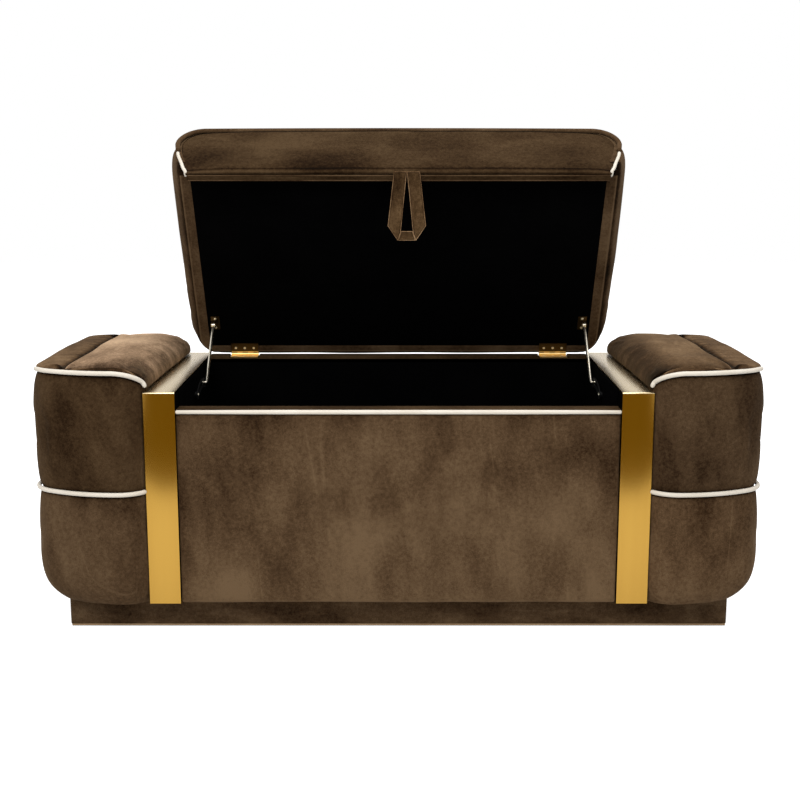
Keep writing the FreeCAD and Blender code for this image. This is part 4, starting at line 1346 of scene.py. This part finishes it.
def lid_front_tone(point):
    """Painted shadow in the seam under the welt, darker towards the bottom, and a painted highlight beside a line
    of painted shade along the lower edge.
    """
    from_welt = welt_tree.find((point.x, 0, point.z))[2]
    low = point.z - apron_low
    ridge = 0.30 * near_seam(low - 0.0030, 0.0028) - 0.40 * near_seam(low - 0.0075, 0.0030)
    broad = 0.10 * ease(low, 0.02, 0.08) - 0.10 * (1 - ease(low, 0.0, 0.05))
    return ridge + broad - 1.3 * near_seam(from_welt - welt_radius - 0.0012, 0.0042)


spread_across = [math.sin((column / front_columns - 0.5) * math.pi) for column in range(front_columns + 1)]
lid_front = join_rows("lid_front_panel", [
    [front_point(edge, u, index / front_rows) for u in spread_across]
    for index, edge in enumerate(resample(lid_outline, front_rows + 1))])
thicken(lid_front, 0.004)
subdivide_once(lid_front)
ripple(lid_front, 0.0009, 0.07, 8.0)
paint_light_and_streaks(lid_front, lid_front_tone)
print(lid_front.name, len(lid_front.data.polygons), "faces in one piece")

# %% Lid front panel: split at the apron
apron_split = band_top + 0.005


def split_low(piece, name, height):
    """Moves the faces below a height into a piece of their own, and returns it."""
    choose(piece, "FACE", lambda face: face.center.z < height)
    bpy.ops.mesh.separate(type="SELECTED")
    leave_edit()
    low_piece = next(other for other in bpy.context.selected_objects if other is not piece)
    low_piece.name = name
    return low_piece


def squeeze(piece):
    """Gives the piece a mesh of its own."""
    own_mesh(piece)


apron_front = split_low(lid_front, "lid_apron_front", apron_split)
for piece in (lid_front, apron_front):
    dress(open_up(piece), "lid", lid_velvet, "velvet", fill=0.7)
squeeze(apron_front)

# %% [markdown]
# ## Underside of the lid
# Behind the front panel the apron is a soft roll, a block with round edges. A narrow velvet border runs round
# the sides and the rear of the underside, and black cloth on a thin board fills what is inside it. The
# border is a sheet between the lid's edge and the lining, a little crowned, so that its seams show.

# %% Lid apron
apron_back = front_y + 0.018
apron_face = front_y + 0.0075
apron = rounded_bar("lid_apron_roll", (-corner_x + 0.001, apron_face, apron_low),
                    (corner_x - 0.001, apron_back, lid_under + 0.001), 0.0025)
dress(open_up(apron), "lid", lid_velvet, "velvet", "lid_apron", fill=0.6)
squeeze(apron)

# %% Lid border
lining_half = lid_half - 0.024
lining_rear = lid_rear - 0.020
border_start, border_end = front_y + 0.025, lid_rear - 0.002
edge_in = 0.003
side_steps, rear_steps, strip_steps = 59, 30, 10
strip_crown = 0.0008


def lid_edge(y):
    """The lid's half width at its underside."""
    return lid_side(y)[0].x


def border_strip_row(outer):
    """One line across the border, from the lid's edge to the lining, crowned downwards."""
    inner = Vector((min(outer.x, lining_half), min(outer.y, lining_rear), 0))
    row = []
    for step in range(strip_steps + 1):
        share = step / strip_steps
        at = outer.lerp(inner, share)
        crown = strip_crown * math.sqrt(max(0.0, 1 - (2 * share - 1) ** 4))
        row.append(Vector((at.x, at.y, lid_under + 0.0012 - crown)))
    return row


def lid_border_tone(point):
    """A painted highlight just inside the border's outer edge, beside a line of painted shade at the seam."""
    inside = min(lid_edge(point.y) - abs(point.x), lid_rear - point.y) - edge_in
    return 0.55 * near_seam(inside - 0.0034, 0.0022) - 0.90 * near_seam(inside, 0.0024)


border_edge = []
for step in range(side_steps + 1):
    y = border_start + (border_end - border_start) * (1 - (1 - step / side_steps) ** 2)
    border_edge.append(Vector((lid_edge(y) - edge_in, y, 0)))
corner = border_edge[-1]
for step in range(1, rear_steps + 1):
    border_edge.append(Vector((corner.x * (1 - step / rear_steps), corner.y, 0)))
right_rows = [border_strip_row(outer) for outer in border_edge]
left_rows = [[Vector((-point.x, point.y, point.z)) for point in row] for row in reversed(right_rows[:-1])]
lid_border = join_rows("lid_border_strip", right_rows + left_rows)
thicken(lid_border, 0.0015, offset=0)
subdivide_once(lid_border)
paint_light_and_streaks(lid_border, lid_border_tone)
dress(open_up(lid_border), "lid", edge_velvet, "velvet", "lid_border", fill=0.4)

# %% Lid lining
lining_lap, lining_thick = 0.002, 0.003
lining_out = lining_half + lining_lap
lid_lining = rounded_bar("lid_lining_panel", (-lining_out, apron_back - 0.001, lid_under),
                         (lining_out, lining_rear + lining_lap, lid_under + lining_thick), 0.001, 2)
dress(open_up(lid_lining), "lid", lining_black, "lining", "lid_lining", fill=0.2)

# %% [markdown]
# ## Lining of the well
# Black cloth covers the floor and the four walls of the well. It lies flat on the boards, so each is a thin
# block with rounded edges. The side walls start just behind the front rim.

# %% Lining of the well
wall_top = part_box("lining_walls")[1].z
floor_low, floor_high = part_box("lining_floor")
wall_thick = 0.002
well_front = front_y + 0.040
well_back = floor_high.y - wall_thick
well_inside = band_in - wall_thick
well_floor = rounded_bar("well_floor", floor_low, floor_high, 0.0008, 2)
dress(well_floor, "bench", lining_black, "lining", "lining_floor", fill=0.2)
for name, left, right, front, back, top in (
        ("well_back_wall", -band_in, band_in, well_back, floor_high.y, back_rim - 0.002),
        ("well_front_wall", -band_in, band_in, floor_low.y, floor_low.y + wall_thick, front_rim - 0.001),
        ("well_right_wall", well_inside, band_in, well_front, well_back, wall_top),
        ("well_left_wall", -band_in, -well_inside, well_front, well_back, wall_top)):
    wall = rounded_bar(name, (left, front, floor_high.z), (right, back, top), 0.0007, 2)
    dress(wall, "bench", lining_black, "lining", "lining_walls", fill=0.2)


# %% [markdown]
# ## Piping
# Cream piping marks the seams. Each run is a round cord along a smooth curve, made as a curve with a bevel
# and turned into a mesh, which keeps it round through every bend. Its ends are drawn in, as they are where a
# cord is folded under and sewn down.

# %% Piping helper
tip_length = 0.0015


def make_piping(name, points, radius):
    """A cord along the points. A point close to each end lets only the tip be drawn in."""
    first = points[0] + (points[1] - points[0]).normalized() * tip_length
    last = points[-1] + (points[-2] - points[-1]).normalized() * tip_length
    line = [points[0], first] + points[1:-1] + [last, points[-1]]
    data = bpy.data.curves.new(name, "CURVE")
    data.dimensions = "3D"
    data.bevel_depth = radius
    data.bevel_resolution = 4
    data.use_fill_caps = True
    spline = data.splines.new("POLY")
    spline.points.add(len(line) - 1)
    for place, point in zip(spline.points, line):
        place.co = (*point, 1)
    for index, share in ((0, 0.45), (1, 0.85), (-1, 0.45), (-2, 0.85)):
        spline.points[index].radius = share
    pick_only(new_object(name, data))
    bpy.ops.object.convert(target="MESH")
    return bpy.context.object


def straight_run(half, y, z):
    """Points of a straight run from left to right."""
    return [Vector((x, y, z)) for x in (-half, -0.2, 0.0, 0.2, half)]


# %% Piping of the chest and the arms
cord_proud, hidden_in = 0.003, 0.0092
belt_in, top_in = belt_draw - cord_proud, top_draw - cord_proud
top_drop, hidden_drop = 0.0020, 0.005
belt_points, top_points = 220, 260
belt_seam = resample(arm_plan(belt_in, belt_in), belt_points)
belt_line = [Vector((point.x, point.y, belt_z)) for point in belt_seam]
front_seam = resample(arm_plan(top_in, top_in), top_points)
side_seam = resample(arm_plan(hidden_in, hidden_in), top_points)


def over_band(root, share):
    """A point of the top piping where it runs on past the arm's root, over the band."""
    at = Vector((root.x - roll_over * share, root.y, 0))
    return Vector((at.x, at.y, roll_height(at) - top_drop))


arm_run = []
for at_front, at_side in zip(front_seam, side_seam):
    hidden = ease(at_front.y, -0.19, -0.14)
    point = at_front.lerp(at_side, hidden)
    arm_run.append(Vector((point.x, point.y, roll_height(point) - top_drop - hidden_drop * hidden)))
start_run = [over_band(arm_run[0], share) for share in (1.0, 0.7, 0.35)]
end_run = [over_band(arm_run[-1], share) for share in (0.35, 0.7, 1.0)]
for name, line in (("belt_piping", belt_line), ("top_piping", start_run + arm_run + end_run)):
    for piece, side in both_sides(make_piping("right_" + name + "_cord", line, piping_radius)):
        dress(piece, "bench", piping_cream, "piping", side + "arm_" + name)
front_line = straight_run(panel_half, front_y + piping_radius, front_rim - piping_radius)
front_cord = make_piping("front_piping_cord", front_line, piping_radius)
dress(front_cord, "bench", piping_cream, "piping", "front_piping")

# %% [markdown]
# ## Piping, welt and ridges of the lid
# On the lid a thinner cream cord climbs each front corner, passes behind the welt and runs back along the
# shoulder. The welt is a cord too, covered in the lid's velvet, along the top front edge. Two thin ridges
# stand along the seams of the apron, where the cover is folded. The parts that go down between the bands are
# squeezed with the apron.

# %% Lid piping
shoulder_turn = 0.40
lid_piping_radius = piping_radius * 0.76


def lid_piping_line():
    """From under the apron's end up the front corner, back along the shoulder and down the rear corner."""
    line = [Vector((corner_x - 0.001, front_y + 0.012, apron_low + 0.0050)),
            Vector((corner_x, front_y + 0.006, apron_low + 0.0042)),
            Vector((corner_x + 0.0005, front_y + 0.0012, apron_low + 0.0060))]
    turn_z = lid_knee(front_y, shoulder_turn * 0.8).z
    for point in resample(lid_outline, 80):
        if apron_low + 0.010 < point.z < turn_z:
            behind = ease(point.z, piping_end - 0.006, piping_end + 0.010)
            line.append(Vector((point.x + 0.001 - 0.003 * behind, front_y + 0.009 * behind, point.z)))
    for y in lid_places[3:-3]:
        line.append(lid_knee(y, shoulder_turn) + Vector((0.0010, 0, 0.0004)))
    end = lid_knee(lid_places[-4], shoulder_turn)
    foot = lid_side(lid_rear)[0] + Vector((0.002, 0, 0.010))
    line += [end.lerp(foot, share) for share in (0.25, 0.5, 0.75, 1.0)]
    return smooth_line(resample(line, 110), 2)


lid_cord = make_piping("right_lid_piping_cord", lid_piping_line(), lid_piping_radius)
apron_cord = split_low(lid_cord, "right_apron_piping_cord", apron_split)
for cord in (lid_cord, apron_cord):
    for piece, side in both_sides(open_up(cord)):
        dress(piece, "lid", piping_cream, "piping", side + "lid_piping")
        if cord is apron_cord:
            squeeze(piece)

# %% Welt and ridges
ridge_radius = 0.0013
# The welt and ridges wear a lighter copy of the lid's velvet, a painted highlight.
welt = make_piping("lid_welt_cord", [open_turn @ point for point in welt_line], welt_radius)
dress(welt, "lid", welt_velvet, "velvet", "lid_front_welt")
for name, y in (("apron_front_ridge", apron_face), ("apron_back_ridge", apron_back - 0.0012)):
    ridge_line = straight_run(corner_x - 0.003, y, apron_low + 0.0006)
    ridge = make_piping(name, [open_turn @ point for point in ridge_line], ridge_radius)
    dress(ridge, "lid", welt_velvet, "velvet")
    squeeze(ridge)

# %% [markdown]
# ## Pull strap
# A folded ribbon hangs from the seam under the front panel: two legs that spread to a blunt foot, with a
# short cross piece between them. Each part is a flat shape. Insets give it a rim painted lighter, a painted
# highlight on its turned edge, a dark groove where the stitches run and a middle that lies a little lower
# than the rim, as beside a turned edge.

# %% Pull strap
strap_at = Vector(joints["strap_seam"]["pos_m"])
strap_thick = 0.0030
rim_width, groove_width, groove_depth, middle_rise = 0.0012, 0.0007, 0.0008, 0.0006


def ribbon(name, corners, shift):
    """A flat shape with a rim painted light, a painted highlight, and a groove, standing upright and facing the
    front.
    """
    points = [(strap_at.x + x, strap_at.y + shift, strap_at.z - drop) for x, drop in corners]
    piece = new_piece(name, points, [tuple(range(len(points)))])
    for finish in (lit_fold_velvet, stitch_velvet, strap_velvet):
        piece.data.materials.append(finish)
    edit_all(piece)
    bpy.ops.mesh.normals_make_consistent(inside=False)
    bpy.ops.mesh.inset(thickness=rim_width, depth=0)
    paint_selected(piece, 1)
    bpy.ops.mesh.inset(thickness=groove_width, depth=-groove_depth)
    paint_selected(piece, 2)
    bpy.ops.mesh.inset(thickness=rim_width, depth=middle_rise)
    leave_edit()
    if piece.data.polygons[0].normal.y > 0:
        piece.data.flip_normals()
    thicken(piece, strap_thick)
    apply_modifier(piece, "BEVEL", width=0.0003, segments=2, limit_method="ANGLE")
    return piece


leg_shift = -strap_thick / 2
left_corners = [(-0.0220, 0.0), (-0.0004, 0.0), (-0.0004, 0.003), (-0.0105, 0.1035), (-0.0155, 0.116),
                (-0.0325, 0.091)]
right_corners = [(-x, drop) for x, drop in reversed(left_corners)]
cross_corners = [(-0.0100, 0.100), (0.0100, 0.100), (0.0148, 0.1157), (-0.0148, 0.1157)]
for name, corners, shift in (("strap_left_leg", left_corners, leg_shift),
                             ("strap_right_leg", right_corners, leg_shift),
                             ("strap_cross", cross_corners, leg_shift + 0.0006)):
    piece = ribbon(name, corners, shift)
    # Painted light and shade: darker up by the seam, lighter towards the foot.
    paint_light_and_streaks(piece, lambda point: 0.28 * ease(strap_at.z - point.z, 0.055, 0.115) - 0.10)
    pick_only(piece)
    bpy.ops.object.shade_smooth_by_angle(angle=math.radians(35))
    declare(piece, "strap", "velvet", "pull_strap", fill=0.3)

# %% [markdown]
# ## Metal bands
# Each band is a brass strip bent over the front, top and back of the chest's end. An open box is bevelled at
# its two top edges for the bends, given a thickness and a small bevel all round, because a sharp edge would
# catch no light. Its top is painted a paler brass than its front, a painted reflection of the pale surround.

# %% Metal bands
band_thick, bend_radius, band_edge = 0.0015, 0.0026, 0.0004


def make_band(name, node):
    """A strip bent over the front, top and back, in the place of a node."""
    low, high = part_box(node)
    band = block(name, low, high)
    choose(band, "FACE", lambda face: abs(face.normal.x) > 0.9 or face.normal.z < -0.9)
    bpy.ops.mesh.delete(type="FACE")
    leave_edit()

    def top_bend(edge):
        ends = [band.data.vertices[index].co for index in edge.vertices]
        return abs(ends[0].x - ends[1].x) > 0.01 and min(end.z for end in ends) > high.z - 0.001

    choose(band, "EDGE", top_bend)
    bpy.ops.mesh.bevel(offset=bend_radius, segments=6, affect="EDGES")
    leave_edit()
    apply_modifier(band, "SOLIDIFY", thickness=band_thick, offset=-1)
    apply_modifier(band, "BEVEL", width=band_edge, segments=2, limit_method="ANGLE")
    for finish in (band_brass, top_brass):
        band.data.materials.append(finish)
    # The upward faces get the paler brass, a painted reflection.
    choose(band, "FACE", lambda face: face.normal.z > 0.15)
    paint_selected(band, 1)
    leave_edit()
    pick_only(band)
    bpy.ops.object.shade_smooth_by_angle(angle=math.radians(40))
    declare(band, "bench", "brass", node)


for side in ("right", "left"):
    make_band(side + "_brass_band", side + "_band")

# %% [markdown]
# ## Frame pieces that stay
# The boards, hinges, stays and screws already have the right shape, so they only get the finish of their
# slot. A few have one of their own: the side panels are lined, the stay brackets are duller, the lid's hinge
# leaves carry a painted highlight by the pin and painted shade beyond it, and the screws are paler than the rest.

# %% Finishes on the frame's pieces
finish_of = {"brass": band_brass, "hardware_brass": hinge_brass, "black_steel": rail_black,
             "steel": rod_steel, "plywood": board_ply, "lining": lining_black, "velvet": panel_velvet,
             "piping": piping_cream}
own_finish = {"lid_screws": screw_steel, "base_screws": screw_steel}
for side in ("right_", "left_"):
    own_finish[side + "side_panel"] = lining_black
    own_finish[side + "stay_bracket"] = dark_brass
    # The lid's leaves carry a painted highlight by the pin and painted shade beyond.
    own_finish[side + "hinge_lid_leaf"] = leaf_brass
slot_of = {part["node"]: part["material_slot"] for part in frame["record"]["subparts"]}
for name, node in frame["nodes"].items():
    node.data.materials.clear()
    node.data.materials.append(own_finish.get(name, finish_of[slot_of[name]]))
print(len(own_finish), "of", len(frame["nodes"]), "nodes have a finish of their own")


# %% [markdown]
# ## Studio
# A pale floor and a white surround, lit by the surround and two large soft lamps. The camera and reflections
# see the surround as plain white, while the light that it throws on the bench is weaker.

# %% Surround
def ray_mix(tree):
    """1 for rays from the camera, reflections and glass, 0 for the light that falls on the object."""
    path = add_node(tree, "ShaderNodeLightPath")
    seen = math_node(tree, "MAXIMUM", path.outputs["Is Camera Ray"], path.outputs["Is Glossy Ray"])
    return math_node(tree, "MAXIMUM", seen, path.outputs["Is Transmission Ray"])


def mix_shaders(tree, plain, seen, output):
    """One shader for the light that falls on the object, another for what is seen."""
    mix = add_node(tree, "ShaderNodeMixShader")
    tree.links.new(ray_mix(tree), mix.inputs["Fac"])
    tree.links.new(plain, mix.inputs[1])
    tree.links.new(seen, mix.inputs[2])
    tree.links.new(mix.outputs["Shader"], tree.nodes[output].inputs["Surface"])


pure_white = (1, 1, 1, 1)
world = bpy.data.worlds.new("studio")
scene.world = world
world.use_nodes = True
tree = world.node_tree
surround = tree.nodes["Background"]
set_sockets(surround, {"Color": pure_white, "Strength": 0.62})
white = add_node(tree, "ShaderNodeBackground", Color=pure_white, Strength=1.0)
mix_shaders(tree, surround.outputs["Background"], white.outputs["Background"], "World Output")
print("surround:", len(tree.nodes), "nodes")


# %% [markdown]
# The floor is matte and keeps the bench's shadow. For the camera and for reflections it also glows a little,
# so that it goes over into the white of the surround.

# %% Studio floor
def stage_plane(name, place, turn, size, paint):
    """A plane that belongs to the studio."""
    bpy.ops.object.select_all(action="DESELECT")
    bpy.ops.mesh.primitive_plane_add(size=1, location=place, rotation=(turn, 0, 0))
    plane = bpy.context.object
    plane.name = name
    plane.scale = (*size, 1)
    plane.data.materials.append(paint)
    plane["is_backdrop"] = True
    return plane


def bare_paint(name):
    """A material without its usual shader."""
    paint = bpy.data.materials.new(name)
    paint.use_nodes = True
    paint.node_tree.nodes.remove(paint.node_tree.nodes["Principled BSDF"])
    return paint, paint.node_tree


floor_paint, tree = bare_paint("studio_floor")
matte = add_node(tree, "ShaderNodeBsdfDiffuse", Color=(0.8, 0.8, 0.8, 1))
glow = add_node(tree, "ShaderNodeEmission")
to_camera = add_node(tree, "ShaderNodeLightPath").outputs["Is Camera Ray"]
tree.links.new(add_up(tree, math_node(tree, "MULTIPLY", to_camera, 0.5), 0.3), glow.inputs["Strength"])
lit = add_node(tree, "ShaderNodeAddShader")
tree.links.new(matte.outputs["BSDF"], lit.inputs[0])
tree.links.new(glow.outputs["Emission"], lit.inputs[1])
mix_shaders(tree, matte.outputs["BSDF"], lit.outputs["Shader"], "Material Output")
floor = stage_plane("studio_floor", (0, 0, 0), 0, (14, 14), floor_paint)
print(floor.name, tuple(floor.scale))

# %% [markdown]
# The upper part of each brass band reflects something darker, such as the unlit end of a studio. Two glowing
# brown cards paint this reflection, one on the floor in front and one upright at its far end. The camera
# doesn't see them, and they throw no shadow.

# %% Dark cards
card_paint, tree = bare_paint("dark_card")
card_glow = add_node(tree, "ShaderNodeEmission", Color=(0.25, 0.172, 0.001, 1), Strength=1.0)
tree.links.new(card_glow.outputs["Emission"], tree.nodes["Material Output"].inputs["Surface"])
for name, place, turn, size in (("floor_card", (0, -2.705, 0.02), 0, (6, 3.73)),
                                ("wall_card", (0, -4.57, 0.82), math.pi / 2, (6, 1.6))):
    card = stage_plane(name, place, turn, size, card_paint)
    card.visible_camera = False
    card.visible_diffuse = False
    card.visible_shadow = False
    print(card.name, size)


# %% Lamps
def soft_lamp(name, place, aim, size, power):
    data = bpy.data.lights.new(name, "AREA")
    data.shape = "RECTANGLE"
    data.size, data.size_y = size
    data.energy = power
    lamp = new_object(name, data)
    lamp.location = place
    lamp.rotation_euler = (Vector(aim) - Vector(place)).to_track_quat("-Z", "Y").to_euler()
    print(name, power, "W")


lamp_aim = (0, 0, 0.3)
soft_lamp("front_lamp", (-0.6, -2.6, 2.4), lamp_aim, (2.4, 1.4), 55)
soft_lamp("top_lamp", (0.3, -0.3, 2.8), lamp_aim, (2.6, 1.8), 40)

# %% [markdown]
# ## Sizes and finish
# The size of the dressed bench's box is printed.

# %% Sizes and finish
low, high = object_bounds()
print("object:", [round(v, 3) for v in high - low])
